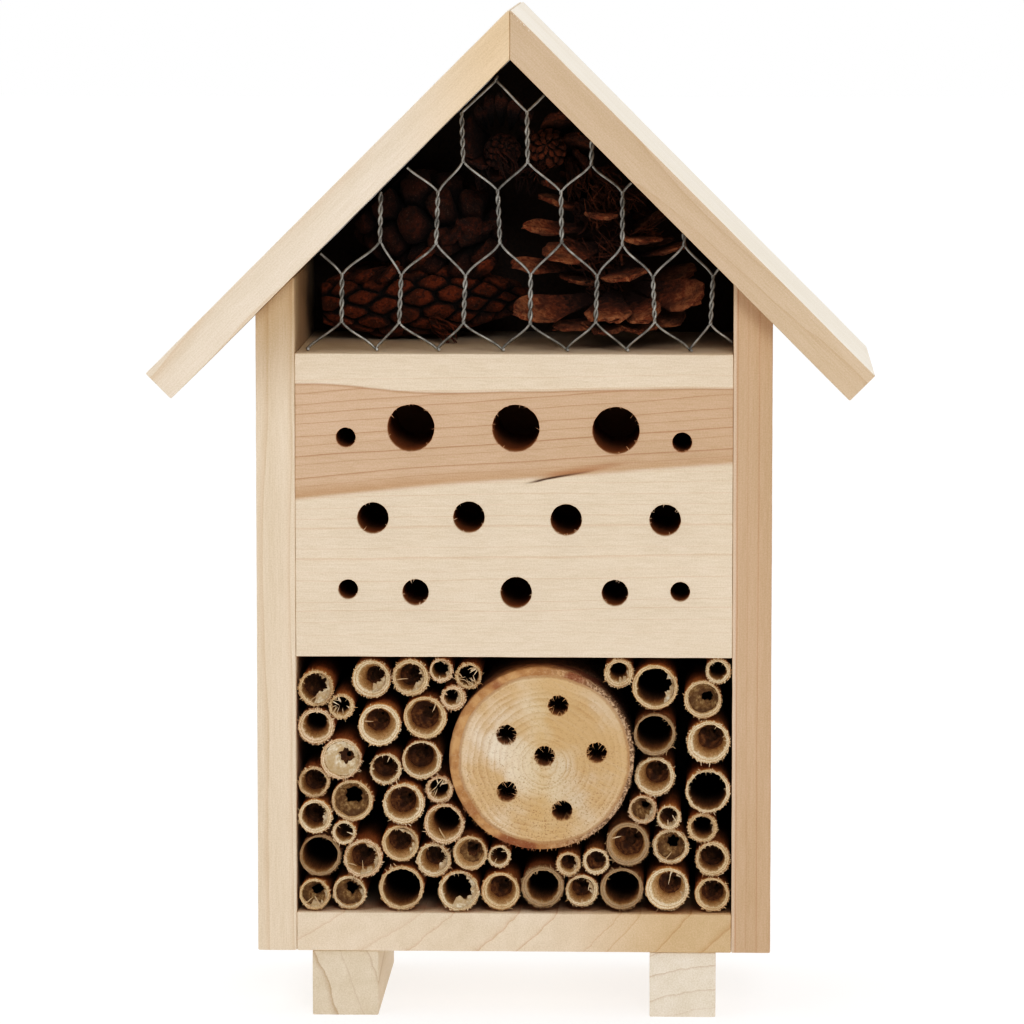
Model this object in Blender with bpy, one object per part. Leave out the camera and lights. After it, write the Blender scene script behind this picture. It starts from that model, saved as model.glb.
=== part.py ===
"""Insect hotel: a small house of pine boards with a steep roof.

The house has three storeys. Dry stems and a drilled log slice fill the lowest one, a drilled
block of pine is the middle one, and pine cones lie behind wire netting under the roof.

Metres, +Z up. The front faces -Y. The origin is on the ground, under the middle of the house.
"""

import math

import bmesh
import bpy
from mathutils import Matrix, Vector

# Driving dimensions of the house.
RIDGE_HEIGHT = 0.2595
RIDGE_X = -0.0007
ROOF_SPAN = 0.1850
ROOF_DEPTH = 0.090
ROOF_THICKNESS = 0.009
ROOF_OVERHANG = 0.010
BODY_WIDTH = 0.132
WALL_THICKNESS = 0.010
BASE_THICKNESS = 0.010
BACK_THICKNESS = 0.005
FOOT_SIZE = 0.017
FOOT_OFFSET = 0.0435
FOOT_SETBACK = 0.0008
BLOCK_BOTTOM = 0.0935
BLOCK_TOP = 0.1715
EDGE_RADIUS = 0.0005

# Clearance between touching pieces.
GAP = 0.0003
DIAGONAL_GAP = GAP * math.sqrt(2)

# Levels and planes that follow from the driving dimensions.
INNER_RIDGE = RIDGE_HEIGHT - ROOF_THICKNESS * math.sqrt(2)
BACK_Y = ROOF_DEPTH / 2
FRONT_Y = -BACK_Y + ROOF_OVERHANG
BODY_BACK_Y = BACK_Y - BACK_THICKNESS - GAP
HALF_BODY = BODY_WIDTH / 2
HALF_INSIDE = HALF_BODY - WALL_THICKNESS
BASE_TOP = FOOT_SIZE + BASE_THICKNESS

# Nest holes of the block: X and Z of the centre, and the drill's diameter.
HOLE_DEPTH = 0.050
HOLE_SIDES = 16
BLOCK_HOLES = (
    (-0.0430, 0.1500, 0.0050), (-0.0263, 0.1525, 0.0120), (0.0005, 0.1525, 0.0120),
    (0.0261, 0.1520, 0.0120), (0.0430, 0.1490, 0.0050),
    (-0.0361, 0.1293, 0.0080), (-0.0115, 0.1296, 0.0080), (0.0134, 0.1290, 0.0080),
    (0.0387, 0.1290, 0.0080),
    (-0.0425, 0.1109, 0.0050), (-0.0252, 0.1102, 0.0067), (0.0006, 0.1102, 0.0080),
    (0.0259, 0.1102, 0.0067), (0.0426, 0.1106, 0.0050),
)

# The log slice and its nest holes, X and Z from the slice's centre.
LOG_X = 0.0070
LOG_Z = 0.0672
LOG_RADIUS = 0.0239
LOG_LENGTH = 0.070
LOG_SETBACK = 0.0005
LOG_SIDES = 24
LOG_HOLE = 0.0050
LOG_HOLE_SIDES = 8
LOG_HOLE_DEPTH = 0.045
LOG_HOLES = (
    (0.0044, 0.0138), (-0.0089, 0.0061), (0.0009, 0.0006),
    (0.0143, 0.0016), (-0.0088, -0.0086), (0.0054, -0.0135),
)

# The thick stems: X, Z and outer diameter, in millimetres, column by column from the left.
STEM_SIDES = 16
STEM_BORE = 0.76
STEM_FLOOR = 0.008
STEM_SETBACKS = (0.0006, 0.0022, 0.0012, 0.0030, 0.0016)
STEMS = (
    (-51.2, 84.6, 9.4), (-51.1, 75.0, 9.5), (-36.6, 87.4, 10.1), (-26.7, 88.0, 9.7),
    (-34.6, 75.8, 11.2), (-22.9, 77.4, 11.4), (-44.9, 66.9, 10.9), (-23.8, 66.5, 10.5),
    (-42.3, 56.2, 11.0), (-50.9, 52.1, 9.0), (-50.0, 41.5, 11.1), (-39.2, 40.2, 10.2),
    (-42.3, 31.5, 8.9), (-28.8, 33.1, 11.8), (-28.4, 55.1, 10.9), (-28.4, 44.4, 9.7),
    (-18.0, 50.0, 10.6), (-20.5, 39.7, 9.0), (-12.1, 41.7, 9.1), (-14.5, 32.1, 10.6),
    (-3.6, 32.0, 10.2), (7.2, 33.7, 11.1), (17.4, 32.6, 8.6), (27.7, 33.5, 11.4),
    (39.3, 33.6, 11.4), (51.0, 31.6, 9.1), (29.3, 44.8, 11.6), (40.3, 44.1, 9.3),
    (51.3, 40.8, 9.1), (49.9, 59.0, 11.6), (36.1, 85.7, 12.0), (35.9, 73.4, 11.2),
    (36.2, 62.4, 10.4), (48.5, 82.3, 10.0), (49.9, 72.0, 11.3),
)

# Hexagonal netting: the twisted sides are upright, the single wires slant.
NET_Y = FRONT_Y + 0.008
NET_COLUMN = 0.0157
NET_TWIST = 0.0134
NET_SLANT = 0.0071
NET_WIRE = 0.0013
NET_SHIFT_X = -0.0035
NET_FIRST_ROW_Z = 0.1858

# Pine cones: name, middle, direction of the tip, length and largest radius.
CONE_SIDES = 20
CONES = (
    ("pine_cone_open", (0.0245, 0.0010, 0.1890), (0.05, 0.15, 1.00), 0.034, 0.0235),
    ("pine_cone_closed", (-0.0220, -0.0110, 0.1840), (1.00, 0.00, 0.06), 0.046, 0.0105),
    ("pine_cone_upper_left", (-0.0262, 0.0160, 0.2036), (0.10, -1.00, 0.10), 0.030, 0.0113),
    ("pine_cone_top", (-0.0050, 0.0010, 0.2210), (-0.10, -1.00, 0.30), 0.032, 0.0115),
    ("pine_cone_upper_right", (0.0185, 0.0190, 0.2140), (0.30, -1.00, 0.00), 0.030, 0.0095),
    ("pine_cone_back", (-0.0310, 0.0210, 0.1825), (-1.00, 0.20, 0.00), 0.034, 0.0095),
)

# Nails: two in each roof panel, four in the back panel.
NAIL_LENGTH = 0.022
NAIL_RADIUS = 0.0007
NAIL_HEAD_RADIUS = 0.0014
NAIL_HEAD_HEIGHT = 0.0007
NAIL_SIDES = 12
NAIL_SINK = 0.0002
ROOF_NAIL_Y = 0.026
BACK_NAIL_Z = (0.050, 0.150)


def clear_scene():
    for item in list(bpy.data.objects):
        bpy.data.objects.remove(item, do_unlink=True)


def material(name, colour, roughness, metallic=0.0):
    made = bpy.data.materials.new(name)
    made.use_nodes = True
    shader = made.node_tree.nodes["Principled BSDF"]
    shader.inputs["Base Color"].default_value = (*colour, 1.0)
    shader.inputs["Roughness"].default_value = roughness
    shader.inputs["Metallic"].default_value = metallic
    return made


def add_object(name, bm, finish):
    """Turn a bmesh into a named object with its faces pointing out."""
    bmesh.ops.recalc_face_normals(bm, faces=bm.faces)
    mesh = bpy.data.meshes.new(name)
    bm.to_mesh(mesh)
    bm.free()
    mesh.materials.append(finish)
    made = bpy.data.objects.new(name, mesh)
    bpy.context.collection.objects.link(made)
    return made


def prism(name, outline, front, back, finish):
    """A solid with an outline of (X, Z) points, from the front plane to the back plane."""
    bm = bmesh.new()
    face = bm.faces.new([bm.verts.new((x, front, z)) for x, z in outline])
    grown = bmesh.ops.extrude_face_region(bm, geom=[face])
    moved = [v for v in grown["geom"] if isinstance(v, bmesh.types.BMVert)]
    bmesh.ops.translate(bm, verts=moved, vec=(0, back - front, 0))
    return add_object(name, bm, finish)


def board(name, left, right, bottom, top, front, back, finish):
    outline = ((left, bottom), (right, bottom), (right, top), (left, top))
    return prism(name, outline, front, back, finish)


def turned(name, profile, sides, finish, origin=(0, 0, 0), direction=(0, 0, 1)):
    """A turned solid. The profile's (radius, height) points start and end on the axis."""
    bm = bmesh.new()
    rings = []
    for radius, height in profile:
        if radius == 0:
            rings.append([bm.verts.new((0, 0, height))])
            continue
        angles = [2 * math.pi * step / sides for step in range(sides)]
        ring = [bm.verts.new((radius * math.cos(a), radius * math.sin(a), height)) for a in angles]
        rings.append(ring)
    for low, high in zip(rings, rings[1:]):
        for step in range(sides):
            following = (step + 1) % sides
            corners = [low[step % len(low)], low[following % len(low)]]
            corners += [high[following % len(high)], high[step % len(high)]]
            bm.faces.new(list(dict.fromkeys(corners)))
    turn = Vector(direction).to_track_quat("Z", "Y").to_matrix().to_4x4()
    bmesh.ops.transform(bm, matrix=Matrix.Translation(origin) @ turn, verts=bm.verts)
    made = add_object(name, bm, finish)
    made.data.shade_smooth()
    made.data.set_sharp_from_angle(angle=math.radians(40))
    return made


def soften_edges(item):
    bevel = item.modifiers.new("soft edges", "BEVEL")
    bevel.width = EDGE_RADIUS
    bevel.segments = 1
    bevel.limit_method = "ANGLE"


def cut(item, cutter):
    """Take a hidden cutter's shape out of an item."""
    cutter.hide_render = True
    cutter.display_type = "WIRE"
    boolean = item.modifiers.new("cut " + cutter.name, "BOOLEAN")
    boolean.operation = "DIFFERENCE"
    boolean.solver = "EXACT"
    boolean.object = cutter


def drill(item, name, start, direction, radius, depth, sides):
    """Drill a round blind hole. It starts a little before the start point."""
    lead = 0.004
    profile = ((0, -lead), (radius, -lead), (radius, depth), (0, depth))
    cut(item, turned(name, profile, sides, None, start, direction))


def roof_underside(x):
    return INNER_RIDGE - abs(x - RIDGE_X)


def make_walls(pine):
    for side, name in ((-1, "wall_left"), (1, "wall_right")):
        outer = side * HALF_BODY
        inner = side * HALF_INSIDE
        outline = (
            (outer, FOOT_SIZE),
            (inner, FOOT_SIZE),
            (inner, roof_underside(inner) - DIAGONAL_GAP),
            (outer, roof_underside(outer) - DIAGONAL_GAP),
        )
        soften_edges(prism(name, outline, FRONT_Y, BODY_BACK_Y, pine))


def make_base(pine):
    inside = HALF_INSIDE - GAP
    base = board("base_board", -inside, inside, FOOT_SIZE, BASE_TOP, FRONT_Y, BODY_BACK_Y, pine)
    soften_edges(base)


def make_feet(pine):
    front = FRONT_Y + FOOT_SETBACK
    for side, name in ((-1, "foot_left"), (1, "foot_right")):
        left = side * FOOT_OFFSET - FOOT_SIZE / 2
        right = left + FOOT_SIZE
        foot = board(name, left, right, 0, FOOT_SIZE - GAP, front, BODY_BACK_Y, pine)
        soften_edges(foot)


def make_back(plywood):
    corners = (HALF_BODY, RIDGE_X, -HALF_BODY)
    outline = [(-HALF_BODY, FOOT_SIZE), (HALF_BODY, FOOT_SIZE)]
    outline += [(x, roof_underside(x) - DIAGONAL_GAP) for x in corners]
    soften_edges(prism("back_panel", outline, BACK_Y - BACK_THICKNESS, BACK_Y, plywood))


def make_roof(pine):
    """Two panels that meet in an upright mitre at the ridge and end square at the eaves."""
    eave_x = ROOF_SPAN / 2
    eave_z = RIDGE_HEIGHT - eave_x
    step = ROOF_THICKNESS / math.sqrt(2)
    for side, name in ((-1, "roof_left"), (1, "roof_right")):
        outline = (
            (RIDGE_X + side * GAP / 2, INNER_RIDGE),
            (RIDGE_X + side * GAP / 2, RIDGE_HEIGHT),
            (RIDGE_X + side * eave_x, eave_z),
            (RIDGE_X + side * (eave_x - step), eave_z - step),
        )
        soften_edges(prism(name, outline, -ROOF_DEPTH / 2, ROOF_DEPTH / 2, pine))


def make_block(pine):
    inside = HALF_INSIDE - GAP
    block = board(
        "drilled_block", -inside, inside, BLOCK_BOTTOM, BLOCK_TOP, FRONT_Y, BODY_BACK_Y, pine
    )
    soften_edges(block)
    for number, (x, z, diameter) in enumerate(BLOCK_HOLES, 1):
        start = (x, FRONT_Y, z)
        name = f"block_drill_{number}"
        drill(block, name, start, (0, 1, 0), diameter / 2, HOLE_DEPTH, HOLE_SIDES)


def make_log(wood):
    front = FRONT_Y + LOG_SETBACK
    profile = ((0, 0), (LOG_RADIUS, 0), (LOG_RADIUS, LOG_LENGTH), (0, LOG_LENGTH))
    log = turned("log_slice", profile, LOG_SIDES, wood, (LOG_X, front, LOG_Z), (0, 1, 0))
    for number, (x, z) in enumerate(LOG_HOLES, 1):
        start = (LOG_X + x, front, LOG_Z + z)
        name = f"log_drill_{number}"
        drill(log, name, start, (0, 1, 0), LOG_HOLE / 2, LOG_HOLE_DEPTH, LOG_HOLE_SIDES)


def settled_stems():
    """Nudge the stems apart until each one clears its neighbours, the boards and the log."""
    stems = [[x / 1000, z / 1000, diameter / 2000] for x, z, diameter in STEMS]
    clear = GAP + 0.00002
    for _ in range(200):
        for index, stem in enumerate(stems):
            for other in stems[index + 1:]:
                away = Vector((stem[0] - other[0], stem[1] - other[1]))
                overlap = stem[2] + other[2] + clear - away.length
                if overlap > 0:
                    push = away.normalized() * overlap / 2
                    stem[0] += push.x
                    stem[1] += push.y
                    other[0] -= push.x
                    other[1] -= push.y
            away = Vector((stem[0] - LOG_X, stem[1] - LOG_Z))
            overlap = stem[2] + LOG_RADIUS + clear - away.length
            if overlap > 0:
                push = away.normalized() * overlap
                stem[0] += push.x
                stem[1] += push.y
            reach = HALF_INSIDE - clear - stem[2]
            stem[0] = max(-reach, min(reach, stem[0]))
            low = BASE_TOP + clear + stem[2]
            high = BLOCK_BOTTOM - clear - stem[2]
            stem[1] = max(low, min(high, stem[1]))
    return stems


def make_stems(reed):
    """Hollow stems, each closed by its own joint at the back and open at the front."""
    for number, (x, z, radius) in enumerate(settled_stems(), 1):
        front = FRONT_Y + STEM_SETBACKS[number % len(STEM_SETBACKS)]
        length = BODY_BACK_Y - GAP - front
        bore = radius * STEM_BORE
        profile = (
            (0, STEM_FLOOR),
            (bore, STEM_FLOOR),
            (bore, length),
            (radius, length),
            (radius, 0),
            (0, 0),
        )
        origin = (x, front + length, z)
        turned(f"stem_{number:02d}", profile, STEM_SIDES, reed, origin, (0, -1, 0))


def net_cell(bm, x, z):
    half = NET_COLUMN / 2
    low = z - NET_TWIST / 2
    high = z + NET_TWIST / 2
    outline = (
        (x - half, low), (x, low - NET_SLANT), (x + half, low),
        (x + half, high), (x, high + NET_SLANT), (x - half, high),
    )
    bm.faces.new([bm.verts.new((px, 0, pz)) for px, pz in outline])


def keep_largest_patch(bm):
    """Delete the loose bits of wire that the trimming leaves in the corners."""
    left = set(bm.faces)
    patches = []
    while left:
        patch = {left.pop()}
        border = list(patch)
        while border:
            face = border.pop()
            near = {f for edge in face.edges for f in edge.link_faces} & left
            left -= near
            patch |= near
            border += near
        patches.append(patch)
    largest = max(patches, key=len)
    loose = [face for patch in patches if patch is not largest for face in patch]
    bmesh.ops.delete(bm, geom=loose, context="FACES")


def make_netting(galvanised):
    """A flat sheet of hexagons, trimmed to the opening and given the wire's thickness."""
    bm = bmesh.new()
    row_pitch = NET_TWIST + NET_SLANT
    for row in range(-1, 5):
        offset = NET_SHIFT_X + (NET_COLUMN / 2 if row % 2 else 0)
        for column in range(-5, 6):
            net_cell(bm, offset + column * NET_COLUMN, NET_FIRST_ROW_Z + row * row_pitch)
    bmesh.ops.remove_doubles(bm, verts=bm.verts, dist=0.00001)
    cells = list(bm.faces)
    bmesh.ops.inset_individual(bm, faces=cells, thickness=NET_WIRE / 2)
    bmesh.ops.delete(bm, geom=cells, context="FACES")
    clear = 2 * GAP
    trims = (
        ((0, 0, BLOCK_TOP + clear), (0, 0, -1)),
        ((-HALF_INSIDE + clear, 0, 0), (-1, 0, 0)),
        ((HALF_INSIDE - clear, 0, 0), (1, 0, 0)),
        ((RIDGE_X, 0, INNER_RIDGE - 2 * clear), (-1, 0, 1)),
        ((RIDGE_X, 0, INNER_RIDGE - 2 * clear), (1, 0, 1)),
    )
    for point, outward in trims:
        everything = bm.verts[:] + bm.edges[:] + bm.faces[:]
        bmesh.ops.bisect_plane(
            bm, geom=everything, plane_co=point, plane_no=outward, clear_outer=True
        )
    keep_largest_patch(bm)
    sheet = list(bm.faces)
    grown = bmesh.ops.extrude_face_region(bm, geom=sheet)
    moved = [v for v in grown["geom"] if isinstance(v, bmesh.types.BMVert)]
    bmesh.ops.translate(bm, verts=moved, vec=(0, NET_WIRE, 0))
    bmesh.ops.translate(bm, verts=bm.verts, vec=(0, NET_Y - NET_WIRE / 2, 0))
    add_object("wire_netting", bm, galvanised)


def make_cones(bark):
    """Egg-shaped bodies that hold the place of the cones."""
    steps = 8
    for name, middle, tip, length, radius in CONES:
        profile = [(0, -length / 2)]
        for step in range(1, steps):
            angle = math.pi * step / steps
            taper = 1.0 + 0.18 * math.cos(angle)
            profile.append((radius * math.sin(angle) * taper, -length / 2 * math.cos(angle)))
        profile.append((0, length / 2))
        turned(name, profile, CONE_SIDES, bark, middle, tip)


def nail(name, head, direction, steel):
    """A round nail. Its head's top is at the head point, and it points along the direction."""
    point = 0.0015
    profile = (
        (0, 0),
        (NAIL_HEAD_RADIUS, 0),
        (NAIL_HEAD_RADIUS, NAIL_HEAD_HEIGHT),
        (NAIL_RADIUS, NAIL_HEAD_HEIGHT),
        (NAIL_RADIUS, NAIL_LENGTH - point),
        (0, NAIL_LENGTH),
    )
    turned(name, profile, NAIL_SIDES, steel, head, direction)


def nail_hole(item, name, head, direction):
    """Clearance for a nail: a sunk seat for its head and a bore for its shank."""
    drill(
        item, name + "_seat", head, direction, NAIL_HEAD_RADIUS + GAP,
        NAIL_HEAD_HEIGHT + GAP, NAIL_SIDES,
    )
    drill(item, name + "_bore", head, direction, NAIL_RADIUS + GAP, NAIL_LENGTH + GAP, NAIL_SIDES)


def make_roof_nails(steel):
    """Upright nails through the roof panels into the ends of the walls."""
    reach = HALF_BODY - WALL_THICKNESS / 2
    down = (0, 0, -1)
    for side, word in ((-1, "left"), (1, "right")):
        x = side * reach
        z = RIDGE_HEIGHT - abs(x - RIDGE_X) - NAIL_HEAD_RADIUS - 2 * GAP
        for y, place in ((-ROOF_NAIL_Y, "front"), (ROOF_NAIL_Y, "rear")):
            name = f"roof_nail_{word}_{place}"
            head = (x, y, z)
            nail_hole(bpy.data.objects["roof_" + word], name, head, down)
            nail_hole(bpy.data.objects["wall_" + word], name + "_wall", head, down)
            nail(name, head, down, steel)


def make_back_nails(steel):
    """Level nails through the back panel into the rear edges of the walls."""
    x = HALF_BODY - WALL_THICKNESS / 2
    inward = (0, -1, 0)
    for side, word in ((-1, "left"), (1, "right")):
        for z, place in zip(BACK_NAIL_Z, ("low", "high")):
            name = f"back_nail_{word}_{place}"
            head = (side * x, BACK_Y - NAIL_SINK, z)
            nail_hole(bpy.data.objects["back_panel"], name, head, inward)
            nail_hole(bpy.data.objects["wall_" + word], name + "_wall", head, inward)
            nail(name, head, inward, steel)


def main():
    clear_scene()
    pine = material("pine", (0.74, 0.57, 0.38), 0.62)
    plywood = material("plywood", (0.68, 0.50, 0.32), 0.68)
    log_wood = material("log_wood", (0.72, 0.58, 0.42), 0.72)
    reed = material("dry_reed", (0.70, 0.56, 0.37), 0.60)
    cone_scale = material("cone_scale", (0.20, 0.10, 0.05), 0.75)
    galvanised = material("galvanised_wire", (0.42, 0.42, 0.42), 0.45, 0.9)
    steel = material("nail_steel", (0.50, 0.50, 0.50), 0.40, 1.0)
    make_walls(pine)
    make_base(pine)
    make_feet(pine)
    make_back(plywood)
    make_roof(pine)
    make_block(pine)
    make_log(log_wood)
    make_stems(reed)
    make_netting(galvanised)
    make_cones(cone_scale)
    make_roof_nails(steel)
    make_back_nails(steel)


main()
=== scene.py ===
"""The looks of the insect hotel: pine boards, drilled wood, dry stems, netting and pine cones."""

import math
import random

import bmesh
import bpy
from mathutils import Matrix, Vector, noise


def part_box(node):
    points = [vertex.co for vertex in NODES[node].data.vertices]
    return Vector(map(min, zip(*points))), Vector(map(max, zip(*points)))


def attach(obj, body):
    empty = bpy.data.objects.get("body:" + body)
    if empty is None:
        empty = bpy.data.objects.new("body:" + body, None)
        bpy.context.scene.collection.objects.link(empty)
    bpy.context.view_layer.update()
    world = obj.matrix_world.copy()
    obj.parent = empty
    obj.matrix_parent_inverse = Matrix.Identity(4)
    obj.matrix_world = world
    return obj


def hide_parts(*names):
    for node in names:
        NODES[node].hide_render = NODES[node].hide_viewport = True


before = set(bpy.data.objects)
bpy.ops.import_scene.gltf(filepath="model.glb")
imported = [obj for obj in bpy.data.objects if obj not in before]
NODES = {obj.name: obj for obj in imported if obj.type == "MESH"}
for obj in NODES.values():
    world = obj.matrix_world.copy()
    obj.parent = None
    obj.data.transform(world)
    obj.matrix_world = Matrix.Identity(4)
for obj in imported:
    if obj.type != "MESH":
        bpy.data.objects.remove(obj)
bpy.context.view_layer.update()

MM = 0.001
# Deepens the shadows, as a strong print does.
TONE_CURVE = ((0.04, 0.018), (0.15, 0.115), (0.40, 0.385))

# Where things are, read from the CAD solids.
BLOCK_LOW, BLOCK_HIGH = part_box("drilled_block")
LOG_LOW, LOG_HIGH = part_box("log_slice")
NET_LOW, NET_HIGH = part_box("wire_netting")
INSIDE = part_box("wall_right")[0].x
BASE_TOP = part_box("base_board")[1].z
FLOOR_Z = BLOCK_HIGH.z
NET_Y = (NET_LOW.y + NET_HIGH.y) / 2
LOG_CENTRE = Vector(((LOG_LOW.x + LOG_HIGH.x) / 2, LOG_LOW.y, (LOG_LOW.z + LOG_HIGH.z) / 2))
LOG_RADIUS = (LOG_HIGH.x - LOG_LOW.x) / 2
RIDGE_X = (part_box("roof_left")[1].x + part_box("roof_right")[0].x) / 2
ROOF_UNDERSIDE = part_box("back_panel")[1].z

# Outward directions of the boards' sides.
LEFT = Vector((-1, 0, 0))
RIGHT = Vector((1, 0, 0))
DOWN = Vector((0, 0, -1))
UP = Vector((0, 0, 1))
UP_LEFT = Vector((-1, 0, 1)).normalized()
UP_RIGHT = Vector((1, 0, 1)).normalized()

# Each board's sides in turn, and how far each side grows to close the joint it meets.
JOINT = 0.00026
BOARDS = {
    "roof_left": ((UP_LEFT, 0), (RIGHT, JOINT / 2), (-UP_LEFT, 0), (-UP_RIGHT, 0)),
    "roof_right": ((LEFT, JOINT / 2), (UP_RIGHT, 0), (-UP_LEFT, 0), (-UP_RIGHT, 0)),
    "wall_left": ((LEFT, 0), (UP_LEFT, JOINT), (RIGHT, 0), (DOWN, 0)),
    "wall_right": ((LEFT, 0), (UP_RIGHT, JOINT), (RIGHT, 0), (DOWN, 0)),
    "base_board": ((LEFT, JOINT), (UP, 0), (RIGHT, JOINT), (DOWN, 0)),
    "foot_left": ((LEFT, 0), (UP, JOINT), (RIGHT, 0), (DOWN, 0)),
    "foot_right": ((LEFT, 0), (UP, JOINT), (RIGHT, 0), (DOWN, 0)),
    "drilled_block": ((LEFT, JOINT), (UP, 0), (RIGHT, JOINT), (DOWN, 0)),
    "back_panel": ((LEFT, 0), (UP_LEFT, JOINT), (UP_RIGHT, JOINT), (RIGHT, 0), (DOWN, 0)),
}

# Nest holes: X, Z and diameter, in millimetres.
BLOCK_HOLES = (
    (-43.0, 150.0, 5.0), (-26.3, 152.5, 12.0), (0.5, 152.5, 12.0), (26.1, 152.0, 12.0),
    (43.0, 149.0, 5.0), (-36.1, 129.3, 8.0), (-11.5, 129.6, 8.0), (13.4, 129.0, 8.0),
    (38.7, 129.0, 8.0), (-42.5, 110.9, 5.0), (-25.2, 110.2, 6.7), (0.6, 110.2, 8.0),
    (25.9, 110.2, 6.7), (42.6, 110.6, 5.0),
)
LOG_SIDES = 144
LOG_HOLES = (
    (11.4, 81.0, 5.2), (-1.9, 73.3, 5.2), (7.9, 67.8, 5.2), (21.3, 68.8, 5.2),
    (-1.8, 58.6, 5.2), (12.4, 53.7, 5.2),
)
HOLE_DEPTH = 0.045
HOLE_SIDES = 48


# ---------------------------------------------------------------- materials

def tone(red, green, blue):
    """A colour given as 0 to 255 on screen, in the linear values that shaders use."""
    def linear(value):
        share = value / 255
        return share / 12.92 if share <= 0.04045 else ((share + 0.055) / 1.055) ** 2.4
    return (linear(red), linear(green), linear(blue), 1.0)


def tint(red, green, blue):
    """A colour to multiply by, given as shares on screen."""
    return (red**2.2, green**2.2, blue**2.2, 1.0)


class Value:
    """A node's output. Plain arithmetic on it makes Math nodes."""

    def __init__(self, graph, socket):
        self.graph = graph
        self.socket = socket

    def __add__(self, other):
        return self.graph.math("ADD", self, other)

    def __sub__(self, other):
        return self.graph.math("SUBTRACT", self, other)

    def __mul__(self, other):
        return self.graph.math("MULTIPLY", self, other)

    def __truediv__(self, other):
        return self.graph.math("DIVIDE", self, other)

    def __pow__(self, other):
        return self.graph.math("POWER", self, other)


class Graph:
    """One material's node tree, built with short calls."""

    def __init__(self, name):
        self.material = bpy.data.materials.new(name)
        self.material.use_nodes = True
        self.tree = self.material.node_tree
        self.shader = self.tree.nodes["Principled BSDF"]

    def fill(self, made, values):
        """Link Values to a node's sockets, or set constants on them."""
        for key, value in values.items():
            if isinstance(value, Value):
                self.tree.links.new(value.socket, made.inputs[key])
            else:
                made.inputs[key].default_value = value

    def node(self, kind, values, output=0, **settings):
        made = self.tree.nodes.new(kind)
        for key, value in settings.items():
            setattr(made, key, value)
        self.fill(made, values)
        return Value(self, made.outputs[output])

    def math(self, operation, first, second=0.0):
        return self.node("ShaderNodeMath", {0: first, 1: second}, operation=operation)

    def mix(self, share, first, second, blend="MIX"):
        values = {0: share, 6: first, 7: second}
        return self.node("ShaderNodeMix", values, 2, data_type="RGBA", blend_type=blend)

    def span(self, value, low, high, to_low=0.0, to_high=1.0):
        """Move the stretch from low to high, smoothly, onto the one from to_low to to_high."""
        values = {0: value, 1: low, 2: high, 3: to_low, 4: to_high}
        return self.node("ShaderNodeMapRange", values, interpolation_type="SMOOTHSTEP")

    def window(self, value, opens, open_at, closes, closed_at):
        """1 between open_at and closes, and 0 before opens and after closed_at."""
        return self.span(value, opens, open_at) * self.span(value, closes, closed_at, 1.0, 0.0)

    def ramp(self, value, stops):
        made = self.node("ShaderNodeValToRGB", {0: value})
        elements = made.socket.node.color_ramp.elements
        while len(elements) < len(stops):
            elements.new(0.5)
        for element, (place, colour) in zip(elements, stops):
            element.position = place
            element.color = colour
        return made

    def place(self, position=(0, 0, 0), turn=(0, 0, 0)):
        """Coordinates in metres, from a place and along turned axes."""
        source = self.node("ShaderNodeTexCoord", {}, "Object")
        values = {"Vector": source, "Location": position, "Rotation": turn}
        return self.node("ShaderNodeMapping", values, vector_type="TEXTURE")

    def noise(self, vector, scale=1.0, detail=3.0, roughness=0.5):
        """Noise. scale is one number, or three that stretch the noise along the axes."""
        if isinstance(scale, tuple):
            vector = self.node("ShaderNodeVectorMath", {0: vector, 1: scale}, operation="MULTIPLY")
            scale = 1.0
        values = {"Vector": vector, "Scale": scale, "Detail": detail, "Roughness": roughness}
        return self.node("ShaderNodeTexNoise", values)

    def parts(self, vector):
        made = self.node("ShaderNodeSeparateXYZ", {0: vector}).socket.node
        return [Value(self, output) for output in made.outputs]

    def weather(self, colour, factor):
        """Multiply a colour by a factor. Where that darkens it, it gets warmer as well."""
        warm = {channel: factor**power for channel, power in enumerate((0.8, 1.0, 1.5))}
        return self.mix(1.0, colour, self.node("ShaderNodeCombineColor", warm), "MULTIPLY")

    def attribute(self, name):
        return self.node("ShaderNodeAttribute", {}, "Fac", attribute_name=name)

    def finish(self, colour, roughness, height, bump, distance, metallic=0.0):
        bumps = {"Strength": bump, "Distance": distance, "Height": height}
        normal = self.node("ShaderNodeBump", bumps)
        look = {"Base Color": colour, "Roughness": roughness, "Metallic": metallic, "Normal": normal}
        self.fill(self.shader, look)
        return self.material


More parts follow.
